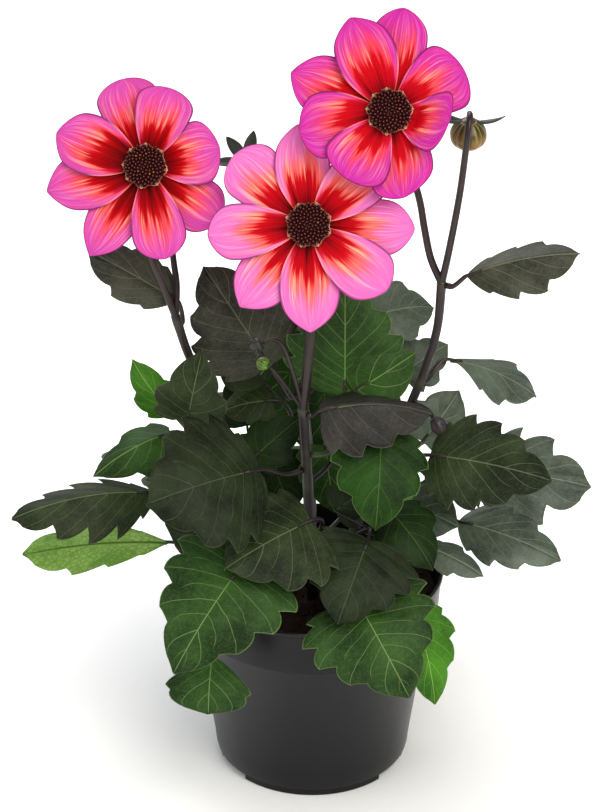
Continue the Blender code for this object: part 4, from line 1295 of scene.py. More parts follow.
@dataclass(frozen=True)
class Leaf:
    """A leaf on its stalk: the stem and height that it grows from, its green and its blades."""

    name: str
    stem: str
    height: float
    tone: Tone
    blades: tuple[Blade, ...]
    stalk: float = 1.5
    rise: float = 0.0

    def route(self) -> list[Vector]:
        """The stalk's centre line from the stem to the blade, and on along its rib.

        Returns:
            Its points in millimetres.
        """
        spot, heading, radius = STEMS[self.stem].at(self.height)
        main = self.blades[0]
        base = Vector(main.base)
        toward = base - spot
        out = (toward - heading * toward.dot(heading)).normalized()
        start = spot + out * (radius + STALK_GAP)
        first = main.point(0.14 ** (1 / VEIN_SWEEP), 0.0)
        arrive = (main.point(0.1 ** (1 / VEIN_SWEEP), 0.0) - base).normalized()
        reach = (base - start).length
        pull = reach * min(0.45, 0.012 * reach)
        begin = start + out * 2.5
        a = begin + out * pull + Vector((0, 0, self.rise))
        b = base - arrive * pull + Vector((0, 0, self.rise))
        points = [start - out * 0.6]
        for k in range(13):
            t = k / 12
            s = 1 - t
            points.append(begin * s ** 3 + a * 3 * t * s ** 2 + b * 3 * t ** 2 * s + base * t ** 3)
        return [*points, base.lerp(first, 0.5), first]

    def build(self) -> bpy.types.Object:
        """Makes the leaf's blades and stalks and joins them.

        Returns:
            The leaf.
        """
        upper, under = LEAF_OWN.get(self.name, LEAF_UPPER[self.tone]), LEAF_UNDER[self.tone]
        skin = STALK if self.tone in (Tone.DARK, Tone.GREEN) else STALK_GREEN
        route = self.route()
        sheath = [self.stalk * 1.35, self.stalk, self.stalk * 0.95, self.stalk * 0.9, self.stalk * 0.55]
        pieces = [sweep("stalk", route, sheath, skin, 10, 0.05)]
        for blade in self.blades:
            pieces += blade.build(upper, under)
        for blade in self.blades[1:]:
            path = spline([route[-6], blade.base, blade.point(0.5, 0.0)], 4)
            pieces.append(sweep("leaflet_stalk", path, [0.9, 0.8, 0.5], skin, 8))
        return publish(join(pieces, f"dahlia_{self.name}"), self.tone.value, self.name)


@dataclass(frozen=True)
class Shoot:
    """A side shoot that carries a bloom or a bud: its stem, its places and its radii at the two ends."""

    stem: str
    places: tuple[Place, ...]
    radii: tuple[float, float]


@dataclass(frozen=True)
class Stem:
    """One upright stem: places on its centre line with the radius there."""

    letter: str
    places: tuple[tuple[Place, float], ...]

    def route(self) -> list[Vector]:
        """The centre line, straight in the peat and curved above it."""
        return [Vector(self.places[0][0]), *spline([p for p, _ in self.places[1:]], 8)]

    def at(self, height: float) -> tuple[Vector, Vector, float]:
        """Where the stem is at a height.

        Args:
            height: The height in millimetres.

        Returns:
            The place, the direction and the radius.
        """
        route, radii = self.route(), [r for _, r in self.places[1:]]
        for i, (low, high) in enumerate(zip(route, route[1:])):
            if low.z <= height <= high.z:
                t = (height - low.z) / (high.z - low.z)
                at = (i + t) / (len(route) - 1) * (len(radii) - 1)
                k = min(int(at), len(radii) - 2)
                radius = radii[k] + (radii[k + 1] - radii[k]) * (at - k)
                return low.lerp(high, t), (high - low).normalized(), radius
        raise ValueError(f"stem {self.letter} doesn't pass height {height}")

    def joints(self) -> list[float]:
        """Where the stem has leaf joints, as shares of its length.

        Returns:
            A share for each leaf of the stem.
        """
        route = self.route()
        lengths = [0.0]
        for before, after in zip(route, route[1:]):
            lengths.append(lengths[-1] + (after - before).length)
        shares = []
        for leaf in LEAVES:
            if leaf.stem == self.letter:
                i = next(k for k, p in enumerate(route) if p.z >= leaf.height)
                t = (leaf.height - route[i - 1].z) / (route[i].z - route[i - 1].z)
                shares.append((lengths[i - 1] + t * (lengths[i] - lengths[i - 1])) / lengths[-1])
        return shares

    def build(self) -> bpy.types.Object:
        """Makes the stem with its shoots and joins them.

        Returns:
            The stem.
        """
        route, radii = self.route(), [0.94 * r for _, r in self.places[1:]]
        tip = (route[-1] - route[-2]).normalized() * radii[-1]
        path = [*route, route[-1] + tip * 0.5, route[-1] + tip * 0.85]
        along = [i / (len(route) - 1) * (len(radii) - 1) for i in range(len(route))]
        girths = [radii[int(a)] + (radii[min(int(a) + 1, len(radii) - 1)] - radii[int(a)]) * (a % 1)
                  for a in along]
        girths += [0.85 * radii[-1], 0.5 * radii[-1]]
        pieces = [sweep("stem", path, girths, STEM, 18, 0.035, self.joints())]
        for name, shoot in SHOOTS.items():
            if shoot.stem == self.letter:
                places = shoot_places(name)
                inside = self.at(places[0][2] - 5)[0]
                pieces.append(sweep("shoot", [inside, *spline(places, 6)], shoot.radii, STEM, 14, 0.04))
        return publish(join(pieces, f"dahlia_stem_{self.letter}"), "stem", f"stem_{self.letter}")


@lru_cache(maxsize=None)
def petal_form(blunt: float) -> float:
    """The greatest width that petal_shape comes to for a tip of this bluntness."""
    return max(petal_shape(k / 100, blunt) for k in range(101))


def petal_shape(u: float, blunt: float) -> float:
    """A petal's width at u before it is scaled, wider towards the tip the blunter it is."""
    return (u + 0.05) ** 0.75 * max(0.0, 1 - u ** blunt) ** (1.95 / blunt)


@dataclass(frozen=True)
class Petal:
    """One ray floret from the front: its direction, reach, width, tier, lean, bluntness and side bend."""

    angle: float
    reach: float
    width: float
    tier: int
    lean: float = 0.0
    blunt: float = 2.4
    skew: float = 0.0

    foot = 5.0
    tier_step = 1.3

    def surface(self, u: float, v: float) -> Vector:
        """A place on the petal in the bloom's axes: x to the right, y up, z to the viewer.

        Args:
            u: The place along it, from 0 to 1.
            v: The place across it, from -1 to 1.

        Returns:
            The place in millimetres.
        """
        full = petal_shape(u, self.blunt) / petal_form(self.blunt)
        across = self.width / 2 * (full + 0.07 * smooth(0.62, 0.86, u) * math.sqrt(max(0.0, 1 - u ** 6))) * v
        out = self.foot + (self.reach - self.foot) * u
        bend = math.radians(self.lean)
        cup = (0.010, 0.004, -0.002)[self.tier] * across ** 2 * min(1.0, 2 * u)
        rise = 7.0 * u - 5.5 * u ** 2 + cup - self.tier_step * self.tier * (1 - 0.3 * u)
        open_part = smooth(0.05, 0.3, u)
        furrows = math.exp(-((v - 0.33) / 0.07) ** 2) + math.exp(-((v + 0.33) / 0.07) ** 2)
        rise += open_part * (0.16 * math.cos(25 * v) - 0.40 * furrows)
        wave = 0.5 * abs(v) ** 3 * math.sin(7 * u + self.angle) * open_part
        rise += wave if self.tier == 0 else -abs(wave)
        tilt = max(0.0, out - 16.0)
        far = out - tilt * (1 - math.cos(bend))
        rise += tilt * math.sin(bend)
        across += self.skew * (self.width / 2) * u ** 2
        a = math.radians(self.angle)
        return Vector((math.cos(a) * far - math.sin(a) * across,
                       math.sin(a) * far + math.cos(a) * across, rise))


def bract_point(length: float, width: float, spread: float, radius: float, azimuth: float, u: float,
                v: float) -> Vector:
    """A place on a pointed bract that stands on a circle about Z and opens from it.

    Args:
        length: The bract's length in mm.
        width: Its width in mm.
        spread: How far it opens from the axis in degrees.
        radius: The radius of the circle that it stands on.
        azimuth: The direction that it stands in.
        u: The place along it.
        v: The place across it.

    Returns:
        The place in millimetres.
    """
    lean = math.radians(spread * (0.9 + 0.2 * u))
    half = width / 2 * (0.5 + 2.1 * u) * (1 - u ** 1.6)
    out = radius + length * u * math.sin(lean)
    height = length * u * math.cos(lean)
    sag = 0.10 * width * v * v
    turn = math.radians(azimuth)
    place = Vector((out - sag * math.cos(lean), half * v, height + sag * math.sin(lean)))
    return Vector((place.x * math.cos(turn) - place.y * math.sin(turn),
                   place.x * math.sin(turn) + place.y * math.cos(turn), place.z))


def even(count: int, low: float = 0.0, high: float = 1.0) -> list[float]:
    """Evenly spaced values from low to high."""
    return [low + (high - low) * k / count for k in range(count + 1)]


def replica(source: bpy.types.Object, name: str, place: Callable[[Vector], Vector]) -> bpy.types.Object:
    """A copy of an object with its own mesh, put in its place point by point.

    Args:
        source: The object.
        name: The copy's name.
        place: What puts a point in its place, in metres.

    Returns:
        The copy.
    """
    made = bpy.data.objects.new(name, source.data.copy())
    bpy.context.scene.collection.objects.link(made)
    for vertex in made.data.vertices:
        vertex.co = place(vertex.co)
    return made


@dataclass(frozen=True)
class Bloom:
    """An open single flower head: the middle of its disc, the way it looks, its petals and their hue."""

    name: str
    centre: Place
    face: tuple[float, float]
    disc: float
    hue: Hue
    petals: tuple[Petal, ...]

    florets = 118
    lift = 1.9
    flank = 3.4
    dome = 4.6
    plate = 9.0
    cup_depth = 9.0
    cup_radius = 9.4
    cup_top = -4.1

    def into(self, local: Place) -> Vector:
        """Turns a place in the bloom's own axes into the plant's frame.

        Args:
            local: The place in the bloom's axes: to the right, up and to the front.

        Returns:
            The place in millimetres.
        """
        out = unit(*self.face)
        right = Vector((0, 0, 1)).cross(out).normalized()
        up = out.cross(right)
        return Vector(self.centre) + right * local[0] + up * local[1] + out * local[2]

    def set_in(self, obj: bpy.types.Object) -> bpy.types.Object:
        """Moves a piece modelled about Z at the origin into the bloom's place.

        Args:
            obj: The piece.

        Returns:
            The piece.
        """
        for vertex in obj.data.vertices:
            vertex.co = self.into(vertex.co / MM) * MM
        return obj

    def build_petals(self) -> bpy.types.Object:
        """Makes the ring of petals and the plate that they stand on.

        Returns:
            The ring.
        """
        low = -2 * Petal.tier_step - 1.2
        profile = [(0, 1.5), (self.plate, 1.5), (self.plate + 0.4, 0.6), (self.plate, low), (0, low)]
        pieces = [self.set_in(turned("plate", profile, 32, RECEPTACLE))]
        rows = [math.sin(math.pi / 2 * t) for t in even(40)]
        for number, petal in enumerate(self.petals):
            seed = Vector((number * 3.7 + self.disc, 0.0, 0.0))
            pieces.append(thin("petal", rows, even(30, -1, 1), lambda u, v: self.into(petal.surface(u, v)),
                               0.45, (PETAL_FRONT[self.hue], PETAL_BACK), lambda u, v: seed))
        return publish(join(pieces, f"ray_florets_{self.name}"), "petal", f"bloom_{self.name}_petals")

    def dome_height(self, radius: float) -> float:
        """How high the disc's dome stands at a distance from its middle."""
        return self.lift + self.flank + self.dome * (1 - (radius / self.disc) ** 2)

    def build_disc(self) -> bpy.types.Object:
        """Makes the disc: closed florets in a spiral over a dome, and pale chaff points round it.

        Returns:
            The disc.
        """
        core = [(0, self.dome_height(0) - 1.0), *[(r, self.dome_height(r) - 1.0) for r in (3, 6, 8.5, 10.2)],
                (self.disc - 0.9, self.lift + self.flank - 1.6), (self.disc - 1.3, self.lift), (0, self.lift)]
        pieces = [self.set_in(turned("dome", core, 40, RECEPTACLE))]
        bpy.ops.object.select_all(action="DESELECT")
        bpy.ops.mesh.primitive_uv_sphere_add(segments=8, ring_count=6, radius=1.0)
        floret = bpy.context.active_object
        for vertex in floret.data.vertices:
            narrow = 1 - 0.55 * smooth(0.0, 1.0, vertex.co.z)
            vertex.co = Vector((vertex.co.x * narrow, vertex.co.y * narrow, vertex.co.z))
        floret.data.shade_smooth()
        draw = random.Random(round(self.disc * 10))
        for i in range(self.florets):
            radius = self.disc * 0.96 * math.sqrt((i + 0.5) / self.florets)
            turn = i * math.radians(GOLDEN_ANGLE)
            lean = 0.85 * (radius / self.disc) ** 1.5
            size = 1.0 + 0.16 * radius / self.disc + draw.uniform(-0.08, 0.08)
            tall = 1.7 + draw.uniform(-0.2, 0.35)
            foot = Vector((math.cos(turn) * radius, math.sin(turn) * radius, self.dome_height(radius) - 0.5))
            tip = Quaternion((-math.sin(turn), math.cos(turn), 0.0), lean)
            dress(floret, STAMEN if draw.random() < 0.10 and radius < 0.6 * self.disc else FLORET)
            pieces.append(replica(floret, "floret", lambda co: self.into(
                foot + tip @ Vector((co.x * size, co.y * size, co.z * tall))) * MM))
        bpy.data.objects.remove(floret)
        angles = sorted(petal.angle % 360 for petal in self.petals)
        for before, after in zip(angles, [*angles[1:], angles[0] + 360]):
            middle = (before + after) / 2
            pieces.append(thin("chaff", even(6), even(4, -1, 1), lambda u, v: self.into(
                bract_point(2.8, 1.7, 56, self.disc - 0.9, middle, u, v) + Vector((0, 0, self.lift - 0.2))),
                0.3, (CHAFF,)))
        gaps = [math.radians((a + b) / 2) for a, b in zip(angles, [*angles[1:], angles[0] + 360])]
        ring = []
        for k in range(145):
            a = math.tau * k / 144
            corner = max(math.cos(a - gap) for gap in gaps)
            radius = self.disc - 0.5 + 1.3 * smooth(0.95, 1.0, corner) ** 2 + 0.12 * math.cos(40 * a)
            ring.append(self.into((math.cos(a) * radius, math.sin(a) * radius, self.lift + 0.4)))
        pieces.append(sweep("chaff_ring", ring, [0.34, 0.34], CHAFF, 8))
        return publish(join(pieces, f"disc_florets_{self.name}"), "disc", f"bloom_{self.name}_disc")

    def build_cup(self) -> bpy.types.Object:
        """Makes the cup behind the petals with its papery inner bracts and its reflexed outer ones.

        Returns:
            The cup.
        """
        top, low = self.cup_top, self.cup_top - self.cup_depth
        profile = [(0, top), (self.cup_radius - 0.8, top), (self.cup_radius, top - 0.7),
                   (self.cup_radius - 0.2, top - 3), (self.cup_radius - 1.0, top - 5.4), (6.6, low + 2.0),
                   (4.6, low + 0.3), (4.0, low), (0, low)]
        pieces = [self.set_in(turned("cup", profile, 40, CUP_SKIN))]
        for k in range(8):
            def inner(u: float, v: float) -> Vector:
                """A place on this papery inner bract, of which every second one stands further out.

                Args:
                    u: The place along it, from 0 to 1.
                    v: The place across it, from -1 to 1.

                Returns:
                    The place in the plant's frame, in millimetres.
                """
                a = math.radians(45 * k + 12 + 26 * v * (1 - 0.75 * u ** 2))
                radius = self.cup_radius + 0.3 + 9.0 * u ** 1.2 + 0.4 * (k % 2)
                height = top - 4.5 + 3.9 * math.sin(1.5 * u) - 0.5 * (k % 2)
                return self.into((math.cos(a) * radius, math.sin(a) * radius, height))

            pieces.append(thin("inner_bract", even(10), even(8, -1, 1), inner, 0.3, (INNER_BRACT,)))
        for azimuth in (20.0, 92.0, 164.0, 236.0, 308.0):
            pieces.append(thin("outer_bract", even(14), even(8, -1, 1), lambda u, v: self.into(
                bract_point(17, 6, 104, 6, azimuth, u, v) + Vector((0, 0, top - 5.5))), 0.7, (CUP_SKIN,)))
        return publish(join(pieces, f"bract_cup_{self.name}"), "cup", f"bloom_{self.name}_cup")

    def build(self) -> None:
        """Makes the bloom's three pieces."""
        self.build_petals()
        self.build_disc()
        self.build_cup()


@dataclass(frozen=True)
class Bud:
    """A closed bud on the end of a shoot: its size, its ribs and the way its outer bracts stand."""

    name: str
    radius: float
    length: float
    ribs: int
    bract: tuple[float, float]
    spread: float
    bracts: tuple[float, ...]
    slot: str
    form: tuple[float, float] = (0.8, 0.6)

    def seat(self) -> tuple[Vector, Vector]:
        """The end of the bud's stalk and the way the bud looks from it.

        Returns:
            The place in millimetres and the direction.
        """
        places = shoot_places(self.name) if self.name in SHOOTS else [p for p, _ in STEMS["d"].places]
        end, before = Vector(places[-1]), Vector(places[-2])
        return end, (end - before).normalized()

    def girth(self, t: float) -> float:
        """The body's radius at t from its foot to its tip."""
        shift, power = self.form
        return self.radius * max(0.0, math.sin(math.pi * min(t, 1.0) ** shift)) ** power

    def build(self) -> bpy.types.Object:
        """Makes the body's overlapping scales and the bracts at its foot.

        Returns:
            The bud.
        """
        end, heading = self.seat()
        turn = Vector((0, 0, 1)).rotation_difference(heading)
        foot = end + heading * 0.3
        skin = BUD_SKINS[self.slot]
        core = [foot + heading * self.length * 0.96 * t for t in even(12, 0.01, 0.99)]
        pieces = [sweep("core", core, [self.girth(t) * 0.9 for t in even(12, 0.03, 0.99)], skin, 16)]
        step = 360 / self.ribs
        for k in range(2 * self.ribs):
            outer = k % 2

            def scale(u: float, v: float) -> Vector:
                """A place on this overlapping scale, where odd ones lie outside.

                Args:
                    u: The place along it, from 0 to 1.
                    v: The place across it, from -1 to 1.

                Returns:
                    The place in millimetres.
                """
                t = 0.04 + 0.955 * u
                a = math.radians(k * step / 2 - v * step * (0.62 - 0.18 * outer) * (1 - 0.35 * u ** 4))
                radius = self.girth(t) * (0.93 + 0.04 * outer) + 0.35 * (1 - v * v) * min(1.0, 4 * (1 - u))
                return foot + turn @ Vector((math.cos(a) * radius, math.sin(a) * radius, self.length * t))

            pieces.append(thin("scale", even(18), even(10, -1, 1), scale, 0.3, (skin,)))
        for azimuth in self.bracts:
            pieces.append(thin("bract", even(14), even(8, -1, 1), lambda u, v: foot + turn @ (
                bract_point(*self.bract, self.spread, self.radius * 0.25, azimuth, u, v)
                + Vector((0, 0, 0.9))), 0.6, (BUD_BRACT,)))
        return publish(join(pieces, f"closed_{self.name}"), self.slot, self.name)


STEMS = {stem.letter: stem for stem in (
    Stem("a", (
        ((-15, -3, 108), 3.6), ((-15, -3, 127), 3.6), ((-34, -3, 185), 3.3), ((-56, -2, 240), 3.1),
        ((-76, 0, 285), 3.0), ((-85, 0, 315), 3.1),
    )),
    Stem("b", (
        ((0, -17, 108), 3.9), ((0, -17, 127), 3.9), ((-2, -26, 185), 3.6), ((-4, -33, 230), 3.4),
        ((-6, -40, 270), 3.6),
    )),
    Stem("c", (
        ((17, -1, 108), 3.8), ((17, -1, 127), 3.8), ((34, 2, 185), 3.4), ((56, 2, 238), 3.1),
        ((70, 0, 279), 2.9), ((77, 0, 307), 2.8), ((79, 0, 337), 3.1),
    )),
    Stem("d", (
        ((1, 15, 108), 3.4), ((1, 15, 127), 3.4), ((-2, 28, 200), 3.1), ((-8, 37, 260), 2.9),
        ((-15, 40, 305), 2.6), ((-29, 32, 355), 2.2), ((-38, 20, 394), 1.8), ((-40, 12, 410), 1.6),
    )),
)}

SHOOTS = {
    "left": Shoot("a", ((-85, 0, 315), (-92, -3, 337), (-98, -4, 356), (-103, 4, 385)), (2.4, 2.0)),
    "bud_back": Shoot("a", (
        (-85, 0, 315), (-84, 4, 334), (-86, 10, 350), (-88, 22, 372), (-87, 30, 386)), (2.3, 1.7)),
    "middle": Shoot("b", ((-6, -40, 270), (-3, -41, 305), (-1, -38, 340), (-2, -31, 366)), (3.2, 2.6)),
    "bud_hooked": Shoot("b", (
        (-6, -40, 270), (-12, -43, 296), (-18, -45, 315), (-24, -47, 321), (-30, -48, 319)), (1.6, 1.0)),
    "bud_green": Shoot("b", (
        (-6, -40, 270), (-17, -42, 288), (-24, -44, 299), (-27.5, -45, 302)), (1.3, 0.9)),
    "right": Shoot("c", ((79, 0, 337), (72, 2, 353), (68, 4, 371), (64, 6, 392), (55, 4, 420)), (2.4, 2.1)),
    "bud_nodding": Shoot("c", ((79, 0, 337), (83, -2, 361), (88, -5, 397), (91, -9, 431), (92, -8, 442),
                          (93, -4, 446.5), (93, 1, 447), (93, 4, 445), (93, 4.6, 442)), (2.3, 1.6)),
    "bud_striped": Shoot("c", ((61, 1, 254), (67, -8, 257), (72, -12.5, 256), (75, -14, 252)), (1.6, 1.3)),
}

LEAVES = [
    Leaf("leaf_a1", "a", 308, Tone.DARK, (
        Blade((-84, 8, 322), (-140, 26, 348), 38, (-90, 35), 5, 4, 3, 0.0, 0.8),
    )),
    Leaf("leaf_a2", "a", 246, Tone.DARK, (
        Blade((-78, -16, 252), (-68, -20, 301), 50, (-95, 12), 3, -14, 3),
    )),
    Leaf("leaf_a3", "a", 226, Tone.BRIGHT, (
        Blade((-89, 10, 243), (-113, 4, 283), 34, (-110, 20), 4, 10, 3),
    )),
    Leaf("leaf_a4", "a", 206, Tone.GREEN, (
        Blade((-91, 12, 228), (-139, -10, 208), 48, (-105, 52), 7, 34, 3),
    )),
    Leaf("leaf_a5", "a", 180, Tone.DARK, (
        Blade((-98, -22, 203), (-187, -50, 200), 62, (-97, 68), 9, 32, 5, 0.0, 0.8, 0.32),
    )),
    Leaf("leaf_a6", "a", 152, Tone.PALE, (
        Blade((-91, -18, 165), (-184, -30, 163), 60, (90, 28), 4, 8, 4, 0.0, 1.3),
    )),
    Leaf("leaf_a7", "a", 208, Tone.GREEN, (
        Blade((-37, -18, 226), (-8, -2, 246), 36, (-95, 30), 3, 8, 3),
        Blade((-26, 4, 214), (-14, 10, 172), 48, (-95, 30), 3, 8, 3),
        Blade((-42, 26, 226), (-46, 28, 266), 42, (-95, 30), 3, 8, 3),
    )),
    Leaf("leaf_a8", "a", 142, Tone.GREEN, (
        Blade((-62, -87, 127), (-65, -101, 89), 56, (-100, 12), 4, -8, 3, 0.0, 1.5, 0.12),
    ), rise=22),
    Leaf("leaf_a9", "a", 192, Tone.GREEN, (Blade((-96, 44, 196), (-140, 76, 176), 56, (118, 60), 8, 10, 3),)),
    Leaf("leaf_a10", "a", 160, Tone.DARK, (
        Blade((-68, 66, 176), (-112, 112, 134), 68, (125, 55), 10, 10, 3),
    )),
    Leaf("leaf_b1", "b", 268, Tone.DARK, (
        Blade((5, -50, 275), (72, -44, 270), 66, (-95, 64), 8, 40, 4, 0.06),
    )),
    Leaf("leaf_b2", "b", 214, Tone.GREEN, (
        Blade((20, -8, 264), (20, 14, 332), 78, (-90, 18), 4, 4, 5, 0.0),
        Blade((26, -10, 268), (64, 0, 290), 46, (-85, 22), 3, 6, 2),
        Blade((8, 4, 222), (14, 8, 172), 42, (-90, 30), 3, 8, 3),
    )),
    Leaf("leaf_b3", "b", 236, Tone.BRIGHT, (
        Blade((42, -42, 256), (38, -76, 206), 62, (-84, 26), 5, 8, 4, 0.1),
    )),
    Leaf("leaf_b4", "b", 226, Tone.DARK, (
        Blade((-34, -54, 236), (-100, -90, 232), 94, (-100, 36), 8, 8, 5, 0.12, 0.85),
    )),
    Leaf("leaf_b5", "b", 182, Tone.DARK, (
        Blade((-2, -66, 207), (-54, -92, 188), 84, (-95, 60), 3, 12, 4, 0.16),
        Blade((-38, -56, 196), (-92, -50, 196), 54, (-95, 40), 3, 8, 2, 0.0, 0.9),
    )),
    Leaf("leaf_b6", "b", 176, Tone.DARK, (
        Blade((34, -68, 195), (15, -106, 158), 76, (-90, 38), 5, 8, 5, 0.12),
        Blade((14, -40, 200), (33, -36, 212), 32, (-90, 35), 3, 8, 2),
    )),
    Leaf("leaf_b7", "b", 152, Tone.GREEN, (
        Blade((-44, -80, 183), (-85, -120, 131), 88, (-105, 30), 8, 6, 5, 0.27),
    )),
    Leaf("leaf_b8", "b", 140, Tone.GREEN, (
        Blade((28, -86, 160), (59, -121, 114), 88, (-85, 28), 8, 6, 5, 0.22),
    )),
    Leaf("leaf_c1", "c", 336.4, Tone.DARK, (
        Blade((94, -6, 345), (161, -16, 364), 49, (-90, 60), 6, 32, 4, 0.0, 0.85),
    )),
    Leaf("leaf_c2", "c", 268, Tone.DARK, (
        Blade((86, 18, 277), (141, 4, 258), 50, (-80, 84), 5, 12, 4, 0.0, 1.6),
    )),
    Leaf("leaf_c3", "c", 246, Tone.DARK, (Blade((58, 18, 268), (86, 32, 281), 38, (-80, 40), 4, 8, 3),)),
    Leaf("leaf_c4", "c", 218, Tone.GREEN, (Blade((70, 4, 226), (93, 16, 256), 46, (-75, 32), 4, 8, 3),)),
    Leaf("leaf_c5", "c", 206, Tone.DARK, (
        Blade((73, -32, 235), (146, -64, 234), 66, (-82, 42), 7, 12, 5, 0.08),
    )),
    Leaf("leaf_c6", "c", 184, Tone.DARK, (
        Blade((96, 22, 196), (179, 8, 191), 72, (-80, 46), 8, 14, 4, 0.0, 0.8, 0.34),
    )),
    Leaf("leaf_c7", "c", 164, Tone.GREEN, (
        Blade((93, -14, 178), (157, -36, 162), 46, (-75, 50), 6, 10, 4, 0.0, 0.65),
        Blade((62, -18, 192), (92, -32, 184), 42, (-75, 36), 3, 8, 2),
    )),
    Leaf("leaf_c8", "c", 152, Tone.GREEN, (
        Blade((66, -39, 176), (107, -54, 161), 26, (-75, 60), 4, 20, 3, 0.0, 0.8),
    )),
    Leaf("leaf_c9", "c", 176, Tone.GREEN, (Blade((48, -44, 202), (74, -72, 176), 46, (-72, 40), 5, 8, 3),)),
    Leaf("leaf_c10", "c", 140, Tone.BRIGHT, (
        Blade((63, -80, 150), (76, -102, 97), 46, (-66, 18), 5, 6, 4),
    ), rise=20),
    Leaf("leaf_c11", "c", 216, Tone.GREEN, (Blade((80, 50, 206), (114, 94, 178), 58, (60, 60), 8, 10, 3),)),
    Leaf("leaf_c12", "c", 170, Tone.DARK, (Blade((72, 66, 172), (116, 110, 130), 66, (50, 55), 10, 10, 3),)),
    Leaf("leaf_d1", "d", 246, Tone.DARK, (
        Blade((-27, 2, 280), (-68, 22, 339), 74, (-90, 28), 6, 6, 5, 0.05),
    )),
    Leaf("leaf_d2", "d", 272, Tone.DARK, (Blade((37, 26, 303), (77, 42, 302), 50, (-82, 48), 6, 10, 4),)),
    Leaf("leaf_d3", "d", 222, Tone.DARK, (
        Blade((-26, 6, 254), (-58, 6, 246), 34, (-95, 50), 4, 12, 3),
        Blade((-30, 14, 262), (-60, 14, 286), 42, (-95, 30), 3, 8, 2),
    )),
    Leaf("leaf_d4", "d", 244, Tone.GREEN, (
        Blade((8, 52, 256), (8, 64, 180), 78, (-90, 22), 6, 6, 4, 0.1),
        Blade((-4, 54, 264), (-16, 58, 312), 54, (-95, 20), 4, 6, 2),
        Blade((-6, 53, 258), (-42, 56, 224), 54, (-95, 20), 3, 6, 2),
    )),
    Leaf("leaf_d5", "d", 214, Tone.DARK, (Blade((-46, 76, 220), (-74, 124, 190), 60, (105, 60), 8, 10, 3),)),
    Leaf("leaf_d6", "d", 176, Tone.GREEN, (Blade((6, 92, 176), (6, 142, 130), 72, (90, 55), 10, 8, 3),)),
    Leaf("leaf_d7", "d", 150, Tone.GREEN, (Blade((-28, 88, 158), (-50, 130, 112), 60, (100, 50), 8, 8, 3),)),
    Leaf("leaf_d8", "d", 146, Tone.BRIGHT, (Blade((44, 86, 156), (62, 126, 108), 58, (75, 50), 8, 8, 3),)),
]

BLOOMS = [
    Bloom("left", (-100, -14, 419.2), (-92, 28), 12.4, Hue.ROSE, (
        Petal(106, 54, 36, 2, 0, 3.8), Petal(72, 48.5, 34, 0, 6, 3.6), Petal(14, 46, 38, 1, 8, 3.0),
        Petal(-35, 55, 33, 2, 0, 3.0), Petal(-77, 56.5, 32, 0, 0, 3.2), Petal(-121, 62.5, 31, 2, 0, 2.1),
        Petal(-165, 60.5, 35, 1, 0, 2.2), Petal(160, 56.5, 36, 0, 0, 2.5),
    )),
    Bloom("middle", (-3, -46, 394.8), (-90, 27), 12.6, Hue.SOFT, (
        Petal(96, 59.5, 33, 1, 0, 2.2), Petal(42, 58, 35, 0, 0, 3.0), Petal(-2, 62.5, 34, 2, 0, 2.6),
        Petal(-42, 60, 35, 0, 0, 3.0, 0.15), Petal(-89, 63, 36, 1, 0, 2.3), Petal(-130, 62.5, 35, 2, 0, 2.3),
        Petal(-174, 59.5, 33, 0, 0, 3.0), Petal(137, 60, 36, 2, 0, 3.6),
    )),
    Bloom("right", (44, -30, 459.3), (-88, 26), 12.6, Hue.DEEP, (
        Petal(112, 59, 36, 0, 0, 2.3), Petal(81, 61, 33, 2, 0, 2.8), Petal(30, 50, 40, 1, 0, 3.6),
        Petal(-20, 39.5, 36, 0, 40, 3.8, 0.2), Petal(-73, 50, 38, 2, 0, 3.0, -0.4),
        Petal(-124, 46.5, 39, 0, 0, 3.6), Petal(-171, 53.5, 38, 1, 0, 3.2, 0.15),
        Petal(157.5, 61.5, 37, 2, 0, 2.3),
    )),
]

BUDS = [
    Bud("bud_nodding", 11.2, 19.5, 8, (19.0, 4.2), 94.0, (4, 178, 200), "bud", (1.1, 0.42)),
    Bud("bud_hooked", 4.2, 8.0, 6, (9.0, 3.2), 50.0, (0, 90, 180, 270), "cup"),
    Bud("bud_green", 4.0, 8.0, 6, (6.0, 3.0), 75.0, (45, 135, 225, 315), "leaf_bright"),
    Bud("bud_striped", 5.0, 15.0, 6, (8.0, 3.2), 40.0, (0, 90, 180, 270), "disc"),
    Bud("bud_back", 6.0, 12.0, 6, (14.0, 5.0), 80.0, (0, 72, 144, 216, 288), "bud"),
    Bud("bud_star", 5.0, 9.0, 6, (21.0, 7.6), 66.0, (75, 123, 188, 250, 315), "cup"),
]


def shoot_places(name: str) -> list[Vector]:
    """The places of a shoot, which for a bloom's stalk end square to the back of its cup.

    Args:
        name: The bloom or bud that the shoot carries.

    Returns:
        The places in millimetres.
    """
    places = [Vector(p) for p in SHOOTS[name].places]
    for bloom in BLOOMS:
        if bloom.name == name:
            places += [bloom.into((0, 0, -20.4)), bloom.into((0, 0, -13.4))]
    return places


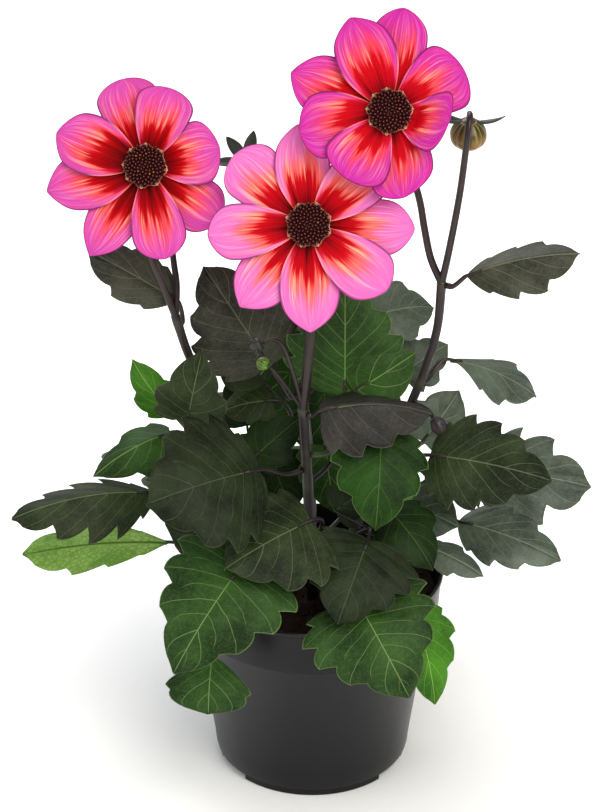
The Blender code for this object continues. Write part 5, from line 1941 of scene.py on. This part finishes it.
@dataclass(frozen=True)
class Studio:
    """The plain studio: a pale paper floor, soft lights and the camera of the photograph."""

    eye: Place = (-0.008, -1.4319, 0.9669)
    tilt: float = 63.5
    focal: float = 2544.0
    picture: float = 812.0
    sensor: float = 36.0
    paper: str = "F4F4F2"
    paper_shade: str = "F1F1EF"
    fibre_mm: float = 10 / 9
    sky: str = "F7F9FC"
    backdrop: str = "FBFBFB"
    surround: float = 0.46
    floor_size: float = 14.0
    glow_reach: tuple[float, float] = (0.09, 0.36)
    glow: float = 0.65
    aim: Place = (0.0, 0.0, 0.28)

    def floor(self) -> None:
        """Lays the paper floor under the pot, with painted light that glows from it away from the pot."""
        bpy.ops.object.select_all(action="DESELECT")
        bpy.ops.mesh.primitive_plane_add(size=self.floor_size, location=(0, 0, -0.0002))
        floor = bpy.context.active_object
        floor.name = "paper_floor"
        made, tree, shader = blank("seamless_paper", 0.9, Specular_IOR_Level=0.1)
        spot = add(tree, "TexCoord").outputs["Object"]
        fibre = add(tree, "TexNoise", named={"Vector": spot, "Scale": per_metre(self.fibre_mm),
                                             "Detail": 3.0})
        colour = add(tree, "MixRGB", add(tree, "MapRange", fibre, 0.3, 0.7), linear(self.paper_shade),
                     linear(self.paper))
        # Painted light: the paper glows, from nothing near the pot up to glow at the far end of glow_reach, so
        # it shows white away from the plant
        far = add(tree, "VectorMath", spot, operation="LENGTH")
        glow = add(tree, "MapRange", far.outputs["Value"], *self.glow_reach, 0.0, self.glow)
        tree.links.new(colour.outputs[0], shader.inputs["Base Color"])
        tree.links.new(colour.outputs[0], shader.inputs["Emission Color"])
        tree.links.new(glow.outputs[0], shader.inputs["Emission Strength"])
        floor.data.materials.append(made)

    def light(self, name: str, place: Place, size: float, power: float, colour: str) -> None:
        """Adds a soft square light that looks at the plant's middle.

        Args:
            name: The light's name.
            place: Where it stands, in metres.
            size: The length of its side in metres.
            power: Its power in watts.
            colour: Its colour as an sRGB hex code.
        """
        lamp = bpy.data.lights.new(name, "AREA")
        lamp.size = size
        lamp.energy = power
        lamp.color = linear(colour)[:3]
        holder = bpy.data.objects.new(name, lamp)
        holder.location = place
        holder.rotation_euler = (Vector(self.aim) - Vector(place)).to_track_quat("-Z", "Y").to_euler()
        bpy.context.scene.collection.objects.link(holder)

    def build(self) -> None:
        """Sets the floor, the surround, the lights and the camera."""
        self.floor()
        world = bpy.data.worlds.new("pale_surround")
        world.use_nodes = True
        tree = world.node_tree
        shone = tree.nodes["Background"]
        shone.inputs["Color"].default_value = linear(self.sky)
        shone.inputs["Strength"].default_value = self.surround
        seen = add(tree, "Background", linear(self.backdrop), 1.0)
        mixed = add(tree, "MixShader", add(tree, "LightPath").outputs["Is Camera Ray"], shone, seen)
        tree.links.new(mixed.outputs[0], tree.nodes["World Output"].inputs["Surface"])
        scene = bpy.context.scene
        scene.world = world
        scene.view_settings.view_transform = "Standard"
        self.light("key", (0.65, -1.3, 1.7), 1.5, 44.0, "FFFAF4")
        self.light("fill", (-1.3, -0.8, 0.9), 1.2, 9.0, "F4F8FF")
        self.light("back", (-0.3, 1.2, 1.4), 1.0, 12.0, "FFFFFF")
        lens = bpy.data.cameras.new("photo_camera")
        lens.sensor_width = self.sensor
        lens.lens = self.focal * self.sensor / self.picture
        camera = bpy.data.objects.new("photo_camera", lens)
        camera.location = self.eye
        camera.rotation_euler = (math.radians(self.tilt), 0.0, 0.0)
        scene.collection.objects.link(camera)
        scene.camera = camera


def main() -> None:
    """Builds the studio and every piece of the plant."""
    logging.basicConfig(level=logging.INFO, format="%(name)s: %(message)s")
    Studio().build()
    Pot().build()
    Peat().build()
    for stem in STEMS.values():
        stem.build()
    for leaf in LEAVES:
        leaf.build()
    for bloom in BLOOMS:
        bloom.build()
    for bud in BUDS:
        bud.build()
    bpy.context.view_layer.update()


if __name__ == "__main__":
    main()
